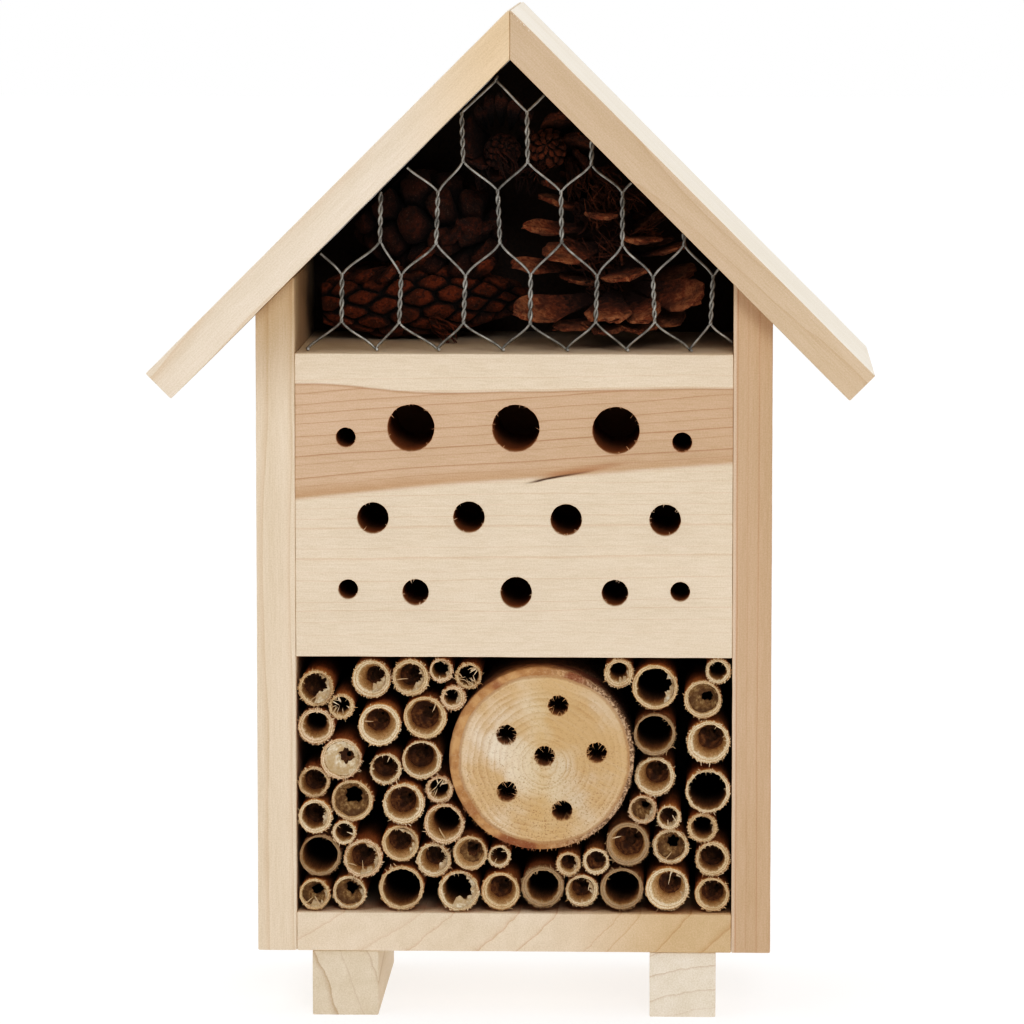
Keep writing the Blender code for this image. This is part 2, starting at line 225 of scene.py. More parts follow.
def wood(name, grain, pith, ring, pale, dark, lines=0.6, wave=0.0012, narrow=7.0, drift=None, top=None):
    """Sawn wood. Growth rings lie round a pith line that runs along the grain.

    grain is the turn that lays local X along the fibres, pith a point on the pith line and ring
    the rings' spacing. drift is (axis, start, end, colour) of a tint that grows along an axis; on
    the left wall it is painted shadow. top is a lighter colour for the face that looks up: painted
    light from above.
    """
    g = Graph(name)
    local = g.place(pith, grain)
    sway = g.noise(local, (5, 22, 22), 2.0)
    _, y, z = g.parts(local)
    y = y + (sway - 0.5) * (wave * 14)
    radius = g.math("SQRT", y * y + z * z)
    ripple = g.noise(local, (30, 350, 350), 2.0)
    radius = radius + (ripple - 0.5) * wave
    uneven = g.noise(radius / (ring * 1.9), 1.0, 1.0)
    phase = g.math("FRACT", radius / ring + uneven * 1.5)
    late = phase**narrow * g.span(phase, 0.975, 1.0, 1.0, 0.0)
    late = late * g.span(g.noise(radius / (ring * 1.3), 1.0, 1.0), 0.35, 0.62, 0.3, 1.0)
    fibre = g.noise(local, (110, 3000, 3000), 3.0, 0.65)
    grit = g.noise(local, 2600.0, 2.0, 0.6)
    streak = g.noise(local, (9, 260, 260), 3.0, 0.55)
    blotch = g.noise(local, (9, 28, 28), 2.0)
    colour = g.mix(late * lines, pale, dark)
    if drift:
        axis, start, end, cast = drift
        grown = g.span(g.parts(g.place())[axis], start, end)
        colour = g.mix(grown, colour, g.mix(1.0, colour, cast, "MULTIPLY"))
    # Painted light: the face that looks up takes the lighter top colour, as if lit from above.
    if top:
        facing = g.parts(g.node("ShaderNodeNewGeometry", {}, "Normal"))[2]
        colour = g.mix(g.span(facing, 0.3, 0.6), colour, top)
    shade = g.span(streak, 0.25, 0.75, 0.95, 1.03) + g.span(blotch, 0.3, 0.7, -0.035, 0.03)
    shade = shade + g.span(fibre, 0.3, 0.7, -0.05, 0.04)
    shade = shade + g.span(grit, 0.35, 0.65, -0.06, 0.045)
    colour = g.weather(colour, shade)
    sheen = g.span(fibre, 0.2, 0.8, 0.78, 0.62)
    return g.finish(colour, sheen, late * -0.5 + fibre, 0.35, 0.00012)


# Turns that lay a board's fibres along an axis.
ALONG_Y = (0, 0, math.pi / 2)
ALONG_Z = (0, -math.pi / 2, 0)
BACK_FACE_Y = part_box("back_panel")[0].y


def make_board_materials():
    """One wood for each board, with its rings where that board shows them."""
    slope = math.pi / 4
    return {
        "roof_left": wood(
            "roof_left_pine", (0, -slope, 0), (-0.070, 0.060, 0.140), 0.0034,
            tone(231, 214, 192), tone(214, 182, 146), 0.7, top=tone(240, 229, 212),
            drift=(0, -0.035, -0.002, tint(0.99, 0.94, 0.86)),
        ),
        "roof_right": wood(
            "roof_right_pine", (0, slope, 0), (0.070, 0.040, 0.140), 0.0036,
            tone(208, 181, 151), tone(184, 148, 112), 0.6, top=tone(246, 237, 222),
            drift=(0, 0.050, 0.085, tint(1.02, 1.03, 1.03)),
        ),
        # The left wall's drift darkens it towards its top: painted shadow of the roof's overhang.
        "wall_left": wood(
            "wall_left_pine", ALONG_Z, (-0.110, 0.010, 0.0), 0.0046,
            tone(228, 208, 182), tone(206, 174, 136), 0.6, drift=(2, 0.15, 0.188, tint(0.86, 0.81, 0.75)),
        ),
        "wall_right": wood(
            "wall_right_pine", ALONG_Z, (0.0240, -0.0300, 0.0), 0.0030,
            tone(203, 170, 138), tone(174, 114, 76), 0.85, wave=0.0005, narrow=14.0,
            drift=(0, 0.0574, 0.0566, tint(1.07, 1.12, 1.18)),
        ),
        "base_board": wood(
            "base_pine", ALONG_Y, (-0.132, 0.0, 0.174), 0.0085,
            tone(229, 209, 183), tone(196, 148, 104), 1.0, narrow=22.0,
            drift=(0, 0.002, 0.040, tint(0.92, 0.86, 0.77)),
        ),
        "foot_left": wood(
            "foot_left_pine", ALONG_Y, (-0.120, 0.0, -0.012), 0.0068,
            tone(224, 207, 182), tone(176, 140, 104), 1.0, narrow=20.0,
        ),
        "foot_right": wood(
            "foot_right_pine", ALONG_Y, (0.058, 0.0, -0.060), 0.0052,
            tone(234, 221, 202), tone(192, 156, 120), 1.0, narrow=20.0,
        ),
        "back_panel": make_back_material(),
    }


def make_back_material():
    """Plain plywood outside. The side that faces the compartments is dark brown: painted shade for the
    compartments' unlit depth.
    """
    g = Graph("back_board")
    _, y, _ = g.parts(g.place())
    fibre = g.noise(g.place(), (1800, 1800, 60), 3.0, 0.6)
    cloud = g.noise(g.place(), (60, 60, 8), 3.0, 0.5)
    ply = g.mix(g.span(cloud, 0.35, 0.65), tone(214, 186, 150), tone(202, 168, 130))
    ply = g.mix(g.span(fibre, 0.5, 0.75, 0.0, 0.5), ply, tone(164, 122, 84))
    # Painted shade: the face towards the compartments is mottled dark brown, standing for the shade inside
    # them.
    felt = g.noise(g.place(), 1300.0, 4.0, 0.7)
    painted_shade_face = g.mix(g.span(felt, 0.35, 0.65), tone(44, 28, 19), tone(66, 44, 30))
    outside = g.span(y, BACK_FACE_Y + 0.0005, BACK_FACE_Y + 0.0007)
    return g.finish(g.mix(outside, painted_shade_face, ply), 0.8, fibre, 0.3, 0.0002)


def make_block_material():
    """Pale wood with a band of reddish heartwood across its upper half.

    The band has its own lines, which climb to the right, and a slanting lower edge.
    """
    g = Graph("block_pine")
    spot = g.place()
    x, _, z = g.parts(spot)
    sway = g.noise(spot, (14, 20, 60), 2.0) - 0.5
    small = g.noise(spot, (60, 60, 500), 3.0) - 0.5
    level = z + sway * 0.0028 + small * 0.0004

    def lines(slope, pitch, narrow, seed):
        tilted = level - x * slope
        bend = g.noise(tilted / (pitch * 2.1), 1.0 + seed, 1.0)
        phase = g.math("FRACT", tilted / pitch + bend * 1.6)
        line = phase**narrow * g.span(phase, 0.96, 1.0, 1.0, 0.0)
        some = g.noise(tilted / (pitch * 1.1), 2.0 + seed, 1.0)
        return line * g.span(some, 0.38, 0.62, 0.25, 1.0)

    upper = level - x * 0.015 - 0.1617 - g.span(x, -0.056, -0.018, 1.0, 0.0) * 0.003
    lower = level - x * 0.079 - 0.1388
    band = g.span(upper, -0.0003, 0.0004, 1.0, 0.0) * g.span(lower, -0.0007, 0.001)
    thin_lines = lines(0.012, 0.0027, 22.0, 0.0) * 0.95
    pale = g.mix(thin_lines, tone(229, 210, 185), tone(208, 166, 124))
    heart = g.mix(g.span(x, -0.056, 0.056), tone(212, 179, 149), tone(206, 172, 141))
    heart = g.mix(lines(0.07, 0.0027, 10.0, 0.5) * 1.0, heart, tone(166, 108, 70))
    edge = g.window(lower, -0.0002, 0.0006, 0.0008, 0.0045)
    heart = g.mix(edge * g.span(x, -0.05, 0.045, 0.55, 0.25), heart, tone(182, 136, 96))
    rim = g.window(upper, -0.0006, 0.0, 0.0, 0.0004)
    heart = g.mix(rim * 0.7, heart, tone(168, 118, 82))
    colour = g.mix(band, pale, heart)
    # A dark resin streak that starts in the pale wood and climbs into the band's lower edge.
    slit = z - x * 0.2 - 0.1377 + small * 0.001
    ends = g.window(x, 0.002, 0.007, 0.01, 0.0225)
    core = g.window(slit, -0.0004, 0.0, 0.0, 0.0005)
    halo = g.window(slit, -0.0006, 0.0003, 0.0003, 0.0022)
    glow = g.window(x, 0.002, 0.012, 0.014, 0.034)
    colour = g.mix(halo * glow * 0.75, colour, tone(168, 112, 70))
    colour = g.mix(core * ends, colour, tone(66, 38, 22))
    # Painted shade: the mark grows with depth in the drilled holes and darkens their walls to brown.
    colour = g.mix(g.attribute("mark"), colour, tone(176, 120, 72))
    fibre = g.noise(spot, (210, 1500, 3000), 3.0, 0.7)
    grit = g.noise(spot, 2600.0, 2.0, 0.6)
    blotch = g.noise(spot, (12, 12, 50), 2.0)
    shade = g.span(fibre, 0.3, 0.7, 0.935, 1.04) + g.span(grit, 0.35, 0.65, -0.06, 0.045)
    shade = shade + g.span(blotch, 0.3, 0.7, -0.02, 0.015)
    colour = g.weather(colour, shade)
    return g.finish(colour, g.span(fibre, 0.2, 0.8, 0.78, 0.62), fibre, 0.35, 0.00012)


def make_log_material():
    """End grain with fine rings, a brown bast line and rough bark."""
    g = Graph("log_wood")
    pith = g.place((LOG_CENTRE.x + 0.0009, 0, LOG_CENTRE.z - 0.0012))
    sway = g.noise(pith, 90.0, 2.0) - 0.5
    x, _, z = g.parts(pith)
    radius = g.math("SQRT", x * x + z * z) + sway * 0.0022
    crumb = g.noise(pith, 900.0, 3.0, 0.7) - 0.5
    uneven = g.noise(radius * 330.0, 1.0, 1.0)
    phase = g.math("FRACT", (radius + crumb * 0.0007) / 0.00165 + uneven * 1.6)
    late = phase**2.5 * g.span(phase, 0.9, 1.0, 1.0, 0.0)
    late = late * g.span(g.noise(pith, 130.0, 2.0), 0.35, 0.65, 0.25, 1.0)
    grit = g.noise(pith, (2300, 500, 2300), 4.0, 0.7)
    saw = g.noise(g.place(turn=(0, 0.5, 0)), (60, 60, 1900), 2.0)
    patch = g.noise(pith, 75.0, 3.0)
    sides = ((0.0, tone(236, 221, 199)), (0.55, tone(220, 196, 158)), (1.0, tone(217, 198, 172)))
    base = g.ramp(g.span(x, -0.020, 0.016), sides)
    base = g.mix(g.span(patch, 0.38, 0.62, 0.0, 0.8), base, tone(204, 163, 110))
    base = g.mix(g.span(radius, 0.015, 0.022, 0.0, 0.55), base, tone(214, 179, 135))
    base = g.mix(late * 0.75, base, tone(184, 140, 92))
    pores = g.span(grit, 0.52, 0.66) * g.span(z, 0.012, -0.016, 0.35, 0.8)
    base = g.mix(pores, base, tone(158, 112, 68))
    base = g.mix(g.span(saw, 0.5, 0.75, 0.0, 0.12), base, tone(236, 220, 194))
    # The wood's round is set to the right of the log's, so the bark is thick at the left.
    wx, _, wz = g.parts(g.place((LOG_CENTRE.x + 0.0008, 0, LOG_CENTRE.z - 0.0002)))
    edge = g.math("SQRT", wx * wx + wz * wz) + sway * 0.0016 + crumb * 0.0006
    bark_share = g.span(edge, 0.0217, 0.0222)
    coarse = g.noise(pith, 300.0, 3.0, 0.6)
    fine = g.noise(pith, 1900.0, 3.0, 0.65)
    smooth_bark = g.mix(g.span(coarse, 0.35, 0.65), tone(170, 122, 78), tone(200, 154, 106))
    rough_bark = g.mix(g.span(fine, 0.4, 0.62), tone(112, 82, 58), tone(206, 174, 142))
    bark = g.mix(g.span(x + crumb * 0.012, -0.004, 0.016), smooth_bark, rough_bark)
    red = g.span(g.noise(pith, 85.0, 2.0), 0.52, 0.62, 0.0, 0.75)
    red = red * g.span(g.math("ABSOLUTE", z), 0.008, 0.016)
    bark = g.mix(red, bark, tone(132, 72, 46))
    bark = g.mix(g.span(fine, 0.55, 0.75, 0.0, 0.4), bark, tone(214, 188, 154))
    bark = g.mix(g.span(edge, 0.0236, 0.0250, 0.0, 0.6), bark, tone(112, 84, 60))
    line = g.window(edge, 0.021, 0.0216, 0.0217, 0.0223)
    colour = g.mix(bark_share, base, bark)
    colour = g.mix(line * 0.55, colour, tone(160, 112, 70))
    # Painted shade: the drilled holes' walls darken to brown with depth.
    colour = g.mix(g.attribute("mark") * 0.85, colour, tone(176, 120, 72))
    height = grit * 0.9 + saw * 0.25 + coarse * bark_share * 2.5
    return g.finish(colour, 0.82, height, 0.6, 0.0003)


def make_stem_material(name, bright, line, skin):
    """A dry stem. The attribute zone is 0 to 1 in the bore, 1 to 2 on the rim, 2 to 3 on the skin."""
    g = Graph(name)
    zone = g.attribute("zone") + (g.noise(g.place(), 1500.0, 3.0, 0.6) - 0.5) * 0.16
    # The stops below 0.33 paint light and shade in the bore: its wall darkens with depth, yet stays brown
    # far in. The stops above 0.665 paint shade down the skin, between the stems.
    stops = (
        (0.00, tone(58, 34, 18)), (0.100, tone(98, 63, 35)), (0.180, tone(126, 86, 50)),
        (0.240, tone(148, 105, 64)), (0.280, tone(168, 124, 80)), (0.310, tone(190, 148, 102)),
        (0.330, tone(220, 186, 142)), (0.350, bright), (0.455, bright), (0.485, line),
        (0.520, bright), (0.600, bright), (0.635, line), (0.665, skin), (0.750, tone(212, 148, 90)),
        (0.82, tone(192, 126, 70)), (0.90, tone(146, 88, 46)), (1.00, tone(66, 37, 19)),
    )
    colour = g.ramp(zone / 3.0, stops)
    fibre = g.noise(g.place(), (3000, 120, 3000), 3.0, 0.65)
    grain = g.noise(g.place(), 3400.0, 2.0, 0.7)
    patch = g.noise(g.place(), 260.0, 2.0)
    dust = g.span(fibre, 0.3, 0.7, 0.84, 1.06) + g.span(patch, 0.3, 0.7, -0.08, 0.05)
    dust = dust + g.span(grain, 0.35, 0.65, -0.2, 0.09)
    colour = g.weather(colour, dust)
    crumb = g.noise(g.place(), 2100.0, 3.0, 0.7)
    on_rim = g.window(zone, 0.95, 1.1, 1.9, 2.1)
    pits = g.span(crumb, 0.36, 0.48, 0.5, 0.0) * on_rim
    colour = g.mix(pits, colour, tone(176, 122, 76))
    height = fibre + crumb * 2.0
    return g.finish(colour, g.span(fibre, 0.3, 0.7, 0.78, 0.6), height, 0.6, 0.0003)


def make_pith_material(name, low, middle, high):
    """Dry pith and skin inside a stem, mottled between three tones."""
    g = Graph(name)
    flake = g.noise(g.place(), 1100.0, 4.0, 0.65)
    patch = g.noise(g.place(), 330.0, 3.0)
    colour = g.ramp(flake, ((0.32, low), (0.5, middle), (0.68, high)))
    colour = g.mix(g.span(patch, 0.42, 0.62, 0.0, 0.75), colour, low)
    return g.finish(colour, 0.8, flake, 0.6, 0.0003)


def make_wire_material():
    """Zinc-coated wire: dull grey, with brighter spangles and a few dark rubbed spots."""
    g = Graph("zinc_wire")
    cloud = g.noise(g.place(), 420.0, 3.0)
    spangle = g.noise(g.place(), 2600.0, 2.0)
    colour = g.ramp(cloud, ((0.3, tone(112, 110, 106)), (0.7, tone(172, 170, 164))))
    colour = g.mix(g.span(spangle, 0.6, 0.75, 0.0, 0.4), colour, tone(210, 208, 202))
    return g.finish(colour, g.span(cloud, 0.3, 0.7, 0.55, 0.4), spangle, 0.15, 0.0001, 0.7)


def make_nail_material():
    g = Graph("nail_metal")
    cloud = g.noise(g.place(), 900.0, 3.0)
    colour = g.ramp(cloud, ((0.3, tone(120, 116, 110)), (0.7, tone(178, 176, 172))))
    return g.finish(colour, g.span(cloud, 0.3, 0.7, 0.5, 0.3), cloud, 0.2, 0.0001, 0.9)


def make_cone_material(name, low, high, tip):
    """A woody scale. The attribute along is 0 at the scale's root and 1 at its tip. On shut cones it is
    lowest in the cracks between plates, which paints shade into them.
    """
    g = Graph(name)
    along = g.attribute("along")
    ridge = g.noise(g.place(), 900.0, 4.0, 0.6)
    patch = g.noise(g.place(), 240.0, 2.0)
    mixed = along + (ridge - 0.5) * 1.0
    colour = g.ramp(mixed, ((0.25, low), (0.62, high), (0.88, tip), (1.0, high)))
    colour = g.mix(g.span(patch, 0.4, 0.7, 0.0, 0.6), colour, low)
    grey = g.span(g.noise(g.place(), 1600.0, 3.0, 0.7), 0.58, 0.72, 0.0, 0.22)
    colour = g.mix(grey * along, colour, tone(186, 160, 136))
    return g.finish(colour, g.span(ridge, 0.3, 0.7, 0.98, 0.85), ridge, 0.9, 0.0009)


# ---------------------------------------------------------------- mesh helpers

def add_piece(shape, name, materials, node=None, degrees=60, mark="mark", place=(0, 0, 0)):
    """Make a shape's piece, with its materials, its body and the CAD node that it stands for."""
    mesh = shape.mesh(name, mark)
    mesh.shade_smooth()
    mesh.set_sharp_from_angle(angle=math.radians(degrees))
    piece = bpy.data.objects.new(name, mesh)
    piece.location = place
    bpy.context.scene.collection.objects.link(piece)
    for finish in materials:
        mesh.materials.append(finish)
    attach(piece, "root")
    if node:
        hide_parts(node)


def spoke(angle):
    """The direction at an angle from X towards Z."""
    return Vector((math.cos(angle), 0, math.sin(angle)))


def angles(count):
    return [2 * math.pi * step / count for step in range(count)]


def noise_at(*values):
    """Smooth noise from about -1 to 1."""
    return noise.noise(Vector(values))


class Shape:
    """A mesh in the making: points with one number each, and faces with a material number."""

    def __init__(self):
        self.points = []
        self.marks = []
        self.faces = []
        self.finishes = []

    def point(self, place, mark=0.0):
        self.points.append(tuple(place))
        self.marks.append(mark)
        return len(self.points) - 1

    def face(self, corners, finish=0):
        self.faces.append(tuple(corners))
        self.finishes.append(finish)

    def bridge(self, low, high, finish=0):
        """Faces between two rings of points. A ring of one point closes the end."""
        count = max(len(low), len(high))
        for step in range(count):
            after = (step + 1) % count
            corners = [low[step % len(low)], low[after % len(low)]]
            corners += [high[after % len(high)], high[step % len(high)]]
            self.face(dict.fromkeys(corners), finish)

    def loft(self, rings, finish=0):
        for low, high in zip(rings, rings[1:]):
            self.bridge(low, high, finish)

    def tube(self, path, radii, sides=6, mark=0.0, finish=0, squash=1.0):
        """A closed tube along a path of points, with one radius for each."""
        path = [Vector(p) for p in path]
        side = None
        rings = []
        for index, place in enumerate(path):
            before = path[max(index - 1, 0)]
            after = path[min(index + 1, len(path) - 1)]
            ahead = (after - before).normalized()
            if side is None:
                side = ahead.orthogonal().normalized()
            side = (side - ahead * side.dot(ahead)).normalized()
            other = ahead.cross(side)
            ring = []
            for angle in angles(sides):
                out = side * math.cos(angle) + other * (math.sin(angle) * squash)
                ring.append(self.point(place + out * radii[index], mark))
            rings.append(ring)
        self.loft(rings, finish)
        self.face(reversed(rings[0]), finish)
        self.face(rings[-1], finish)

    def fill(self, loops):
        """Flat faces inside the first loop of points and outside the other loops."""
        order = [index for loop in loops for index in loop]
        flat = bmesh.new()
        corners = [flat.verts.new(self.points[index]) for index in order]
        flat.verts.index_update()
        edges = []
        start = 0
        for loop in loops:
            ring = corners[start:start + len(loop)]
            edges += [flat.edges.new(pair) for pair in zip(ring, ring[1:] + ring[:1])]
            start += len(loop)
        bmesh.ops.triangle_fill(flat, use_beauty=True, edges=edges, normal=(0, -1, 0))
        for face in flat.faces:
            self.face([order[corner.index] for corner in face.verts])
        flat.free()

    def mesh(self, name, mark_name):
        made = bpy.data.meshes.new(name)
        made.from_pydata(self.points, [], self.faces)
        made.polygons.foreach_set("material_index", self.finishes)
        solid = bmesh.new()
        solid.from_mesh(made)
        bmesh.ops.recalc_face_normals(solid, faces=solid.faces)
        solid.to_mesh(made)
        solid.free()
        attribute = made.attributes.new(mark_name, "FLOAT", "POINT")
        attribute.data.foreach_set("value", self.marks)
        made.validate()
        return made


# ---------------------------------------------------------------- stems

# How each thick stem looks: the bore's share of the radius, the throat's share of the bore, the
# throat's depth in millimetres, and marks. s: a splinter, F: four of them, w: white pith on the
# lip, m: a torn grey skin across the bore, M: a white one with a brown one behind it, b: brown
# skins deeper in the throat, r: ragged rim, d: dark rim.
STEM_LOOKS = (
    (0.80, 0.84, 5, "bsswr"), (0.72, 0.74, 5, "r"), (0.70, 0.66, 4, "bwr"), (0.74, 0.78, 5, "bswr"),
    (0.74, 0.70, 4, "bs"), (0.78, 0.80, 4, "bs"), (0.82, 0.90, 4, "Mw"), (0.80, 0.80, 5, "b"),
    (0.82, 0.84, 4, "m"), (0.74, 0.84, 6, "bw"), (0.82, 0.95, 9, "d"), (0.80, 0.74, 4, "bsswr"),
    (0.80, 0.84, 4, "mw"), (0.82, 0.95, 9, "r"), (0.78, 0.78, 4, "br"), (0.80, 0.74, 4, "bw"),
    (0.80, 0.78, 4, "rs"), (0.76, 0.76, 4, "bwr"), (0.80, 0.74, 3, "bm"), (0.82, 0.82, 5, "wwr"),
    (0.74, 0.74, 4, "b"), (0.74, 0.90, 8, "dr"), (0.76, 0.74, 4, "bsw"), (0.78, 0.93, 9, "d"),
    (0.76, 0.66, 3, "bsw"), (0.76, 0.80, 4, "b"), (0.76, 0.84, 4, "bsd"), (0.80, 0.84, 3, "mmsr"),
    (0.74, 0.86, 5, "br"), (0.84, 0.95, 9, "r"), (0.80, 0.90, 6, "w"), (0.82, 0.92, 8, "d"),
    (0.78, 0.72, 4, "br"), (0.78, 0.92, 3, "m"), (0.76, 0.74, 4, "br"),
)

# The thin stems between them: X, Z and diameter in millimetres, then the same four values.
THIN_STEMS = (
    (-44.3, 80.4, 6.5, 0.76, 0.86, 2, "FFssr"), (-19.1, 89.8, 6.2, 0.74, 0.84, 4, "w"),
    (-33.1, 64.1, 8.2, 0.82, 0.90, 5, "sbr"), (-51.6, 61.2, 8.2, 0.80, 0.84, 5, "br"),
    (-42.7, 47.9, 6.3, 0.74, 0.84, 4, "sb"), (-51.5, 31.5, 8.2, 0.80, 0.84, 3, "mssw"),
    (-20.0, 58.7, 7.0, 0.76, 0.86, 2, "FFr"), (-4.6, 41.6, 5.9, 0.74, 0.86, 4, "ssb"),
    (14.0, 39.9, 6.3, 0.72, 0.84, 3, "bw"), (21.1, 40.5, 7.0, 0.74, 0.90, 2, "b"),
    (50.3, 49.1, 7.7, 0.76, 0.86, 5, "wr"), (33.1, 54.3, 7.5, 0.78, 0.86, 3, "mw"),
    (39.9, 51.9, 6.3, 0.76, 0.84, 3, "sswb"), (26.9, 89.4, 7.6, 0.66, 0.80, 4, "wr"),
    (52.6, 89.2, 6.5, 0.72, 0.86, 5, "r"), (-11.8, 88.3, 6.8, 0.80, 0.90, 2, "FFFssr"),
    (-16.3, 83.4, 6.4, 0.66, 0.82, 4, "wwr"),
)
STEM_SIDES = 64
# Depths over which the skin and the bore darken: painted shade.
SKIN_SHADE_DEPTH = 0.035
BORE_SHADE_DEPTH = 0.030
# Places of the linings among a stem's materials.
WHITE, GREY, BROWN = 1, 2, 3
# Names of stem finishes, with the tones of the rim, its line and the skin. The last is for the
# dark rims, and the turns say which of the others each stem takes.
STEM_FINISHES = (
    ("reed_cream", tone(240, 220, 188), tone(202, 156, 106), tone(218, 158, 98)),
    ("reed_sand", tone(232, 206, 168), tone(190, 142, 94), tone(204, 144, 86)),
    ("reed_rose", tone(236, 210, 178), tone(184, 134, 92), tone(200, 136, 84)),
    ("reed_straw", tone(228, 202, 166), tone(184, 142, 98), tone(196, 138, 82)),
    ("reed_drab", tone(178, 152, 120), tone(128, 100, 72), tone(140, 104, 70)),
)
FINISH_TURNS = (0, 1, 2, 0, 3)
PITH_FINISHES = (
    ("pith_white", tone(190, 160, 120), tone(226, 208, 178), tone(244, 236, 218)),
    ("pith_grey", tone(92, 64, 38), tone(134, 103, 66), tone(180, 152, 112)),
    ("pith_brown", tone(66, 38, 19), tone(104, 66, 34), tone(142, 102, 62)),
)


def settle(thin, fixed):
    """Nudge the thin stems until they clear the thick ones, the log and the boards."""
    moved = [[x * MM, z * MM, diameter * MM / 2] for x, z, diameter, *_ in thin]
    for _ in range(80):
        for index, stem in enumerate(moved):
            for other in fixed + moved[:index] + moved[index + 1:]:
                away = Vector((stem[0] - other[0], stem[1] - other[1]))
                overlap = stem[2] + other[2] + 0.0001 - away.length
                if overlap > 0:
                    stem[0] += away.normalized().x * overlap
                    stem[1] += away.normalized().y * overlap
            reach = INSIDE - 0.0003 - stem[2]
            stem[0] = max(-reach, min(reach, stem[0]))
            low = BASE_TOP + 0.0003 + stem[2]
            high = BLOCK_LOW.z - 0.0003 - stem[2]
            stem[1] = max(low, min(high, stem[1]))
    return moved


def add_splinters(shape, draw, bore, middle, count):
    """Pale slivers that stand across the mouth of a bore."""
    for _ in range(count):
        angle = draw.uniform(0, 2 * math.pi)
        start = spoke(angle) * bore * 0.96 + middle
        start.y += draw.uniform(0.0004, 0.0014)
        turn = angle + math.pi + draw.uniform(-0.7, 0.7)
        reach = bore * draw.uniform(0.45, 0.85)
        ahead = Vector((math.cos(turn), draw.uniform(-0.15, 0.3), math.sin(turn)))
        bend = Vector((draw.uniform(-1, 1), 0, draw.uniform(-1, 1))) * reach * 0.05
        path = [start + ahead * reach * t + bend * math.sin(math.pi * t) for t in (0, 0.35, 0.7, 1)]
        thick = draw.uniform(0.00016, 0.00024)
        radii = [thick * share for share in (1.3, 1, 0.8, 0.3)]
        shape.tube(path, radii, 5, 1.2, WHITE, 0.6)


def add_skin(shape, draw, reach, middle, depth, hole, finish, share=1.0):
    """A torn skin across a bore, or across a share of it. hole is the torn hole's size, as a
    share of the bore."""
    columns = 28
    rows = 7
    seed = draw.uniform(0, 50)
    first = draw.uniform(-0.6, 0.6) - math.pi * share
    off = spoke(draw.uniform(0.2, 1.2)) * reach * (1 - hole) * 0.5
    whole = share >= 1.0
    sheets = [[], []]
    for row in range(rows + 1):
        part = row / rows
        line = []
        for column in range(columns if whole else columns + 1):
            out = spoke(first + share * 2 * math.pi * column / columns)
            tear = hole * (1 + 0.45 * noise_at(out.x * 2.5, out.z * 2.5, seed))
            tear *= 1 + 0.25 * noise_at(out.x * 9, out.z * 9, seed)
            place = (off + out * reach * max(0.05, tear)).lerp(out * reach, part)
            lump = noise_at(place.x * 700, place.z * 700, seed) * 0.0007
            place.y = depth + lump + 0.0009 * (1 - part) ** 2 - 0.0012 * part**3
            line.append(place + middle)
        for sheet, thick in zip(sheets, (0, 0.0003)):
            sheet.append([shape.point(p + Vector((0, thick, 0)), 0.9) for p in line])
    front, back = sheets
    across = len(front[0])
    gaps = [(column, (column + 1) % across) for column in range(across if whole else across - 1)]

    def quad(one, two):
        shape.face(one + two[::-1], finish)

    for row in range(rows):
        for column, after in gaps:
            for sheet in sheets:
                low, high = sheet[row], sheet[row + 1]
                quad([low[column], low[after]], [high[column], high[after]])
    for row in (0, rows):
        for column, after in gaps:
            quad([front[row][column], front[row][after]], [back[row][column], back[row][after]])
    if not whole:
        for column in (0, across - 1):
            for row in range(rows):
                near = [front[row][column], front[row + 1][column]]
                quad(near, [back[row][column], back[row + 1][column]])


def add_fringe(shape, draw, radius, count, spread):
    """Torn fibres round the rim, most of them where the saw came out, low on the right."""
    for _ in range(count):
        angle = draw.gauss(-0.75, spread)
        root = radius * draw.uniform(0.92, 0.985)
        start = Vector((math.cos(angle) * root, 0, math.sin(angle) * root))
        start.y += draw.uniform(-0.0001, 0.0004)
        turn = angle + draw.uniform(-0.8, 0.8)
        short = draw.random() < 0.97
        reach = draw.uniform(0.0002, 0.00048) if short else draw.uniform(0.0006, 0.0012)
        ahead = Vector((math.cos(turn), draw.uniform(-0.35, 0.2), math.sin(turn)))
        add_fibre(shape, start, ahead * reach, draw.uniform(0.00009, 0.00019), draw.uniform(1.3, 1.9))


def add_fibre(shape, start, ahead, thick, mark, finish=0):
    """A short pointed fibre."""
    path = [start, start + ahead * 0.6, start + ahead]
    shape.tube(path, [thick, thick * 0.8, thick * 0.3], 4, mark, finish)


def add_fuzz(shape, draw, place_at, count, longest, mark=1.1):
    """Short fibres round the lip of a hole, pointing inward."""
    for _ in range(count):
        start, inward = place_at(draw.uniform(0, 2 * math.pi))
        start = start - inward * 0.00008
        reach = longest * draw.uniform(0.3, 1.0) ** 1.5
        lean = (draw.uniform(-0.7, 0.7), draw.uniform(-0.2, 0.6), draw.uniform(-0.7, 0.7))
        ahead = (inward + Vector(lean)) * reach
        add_fibre(shape, start, ahead, draw.uniform(0.00006, 0.00012), mark)


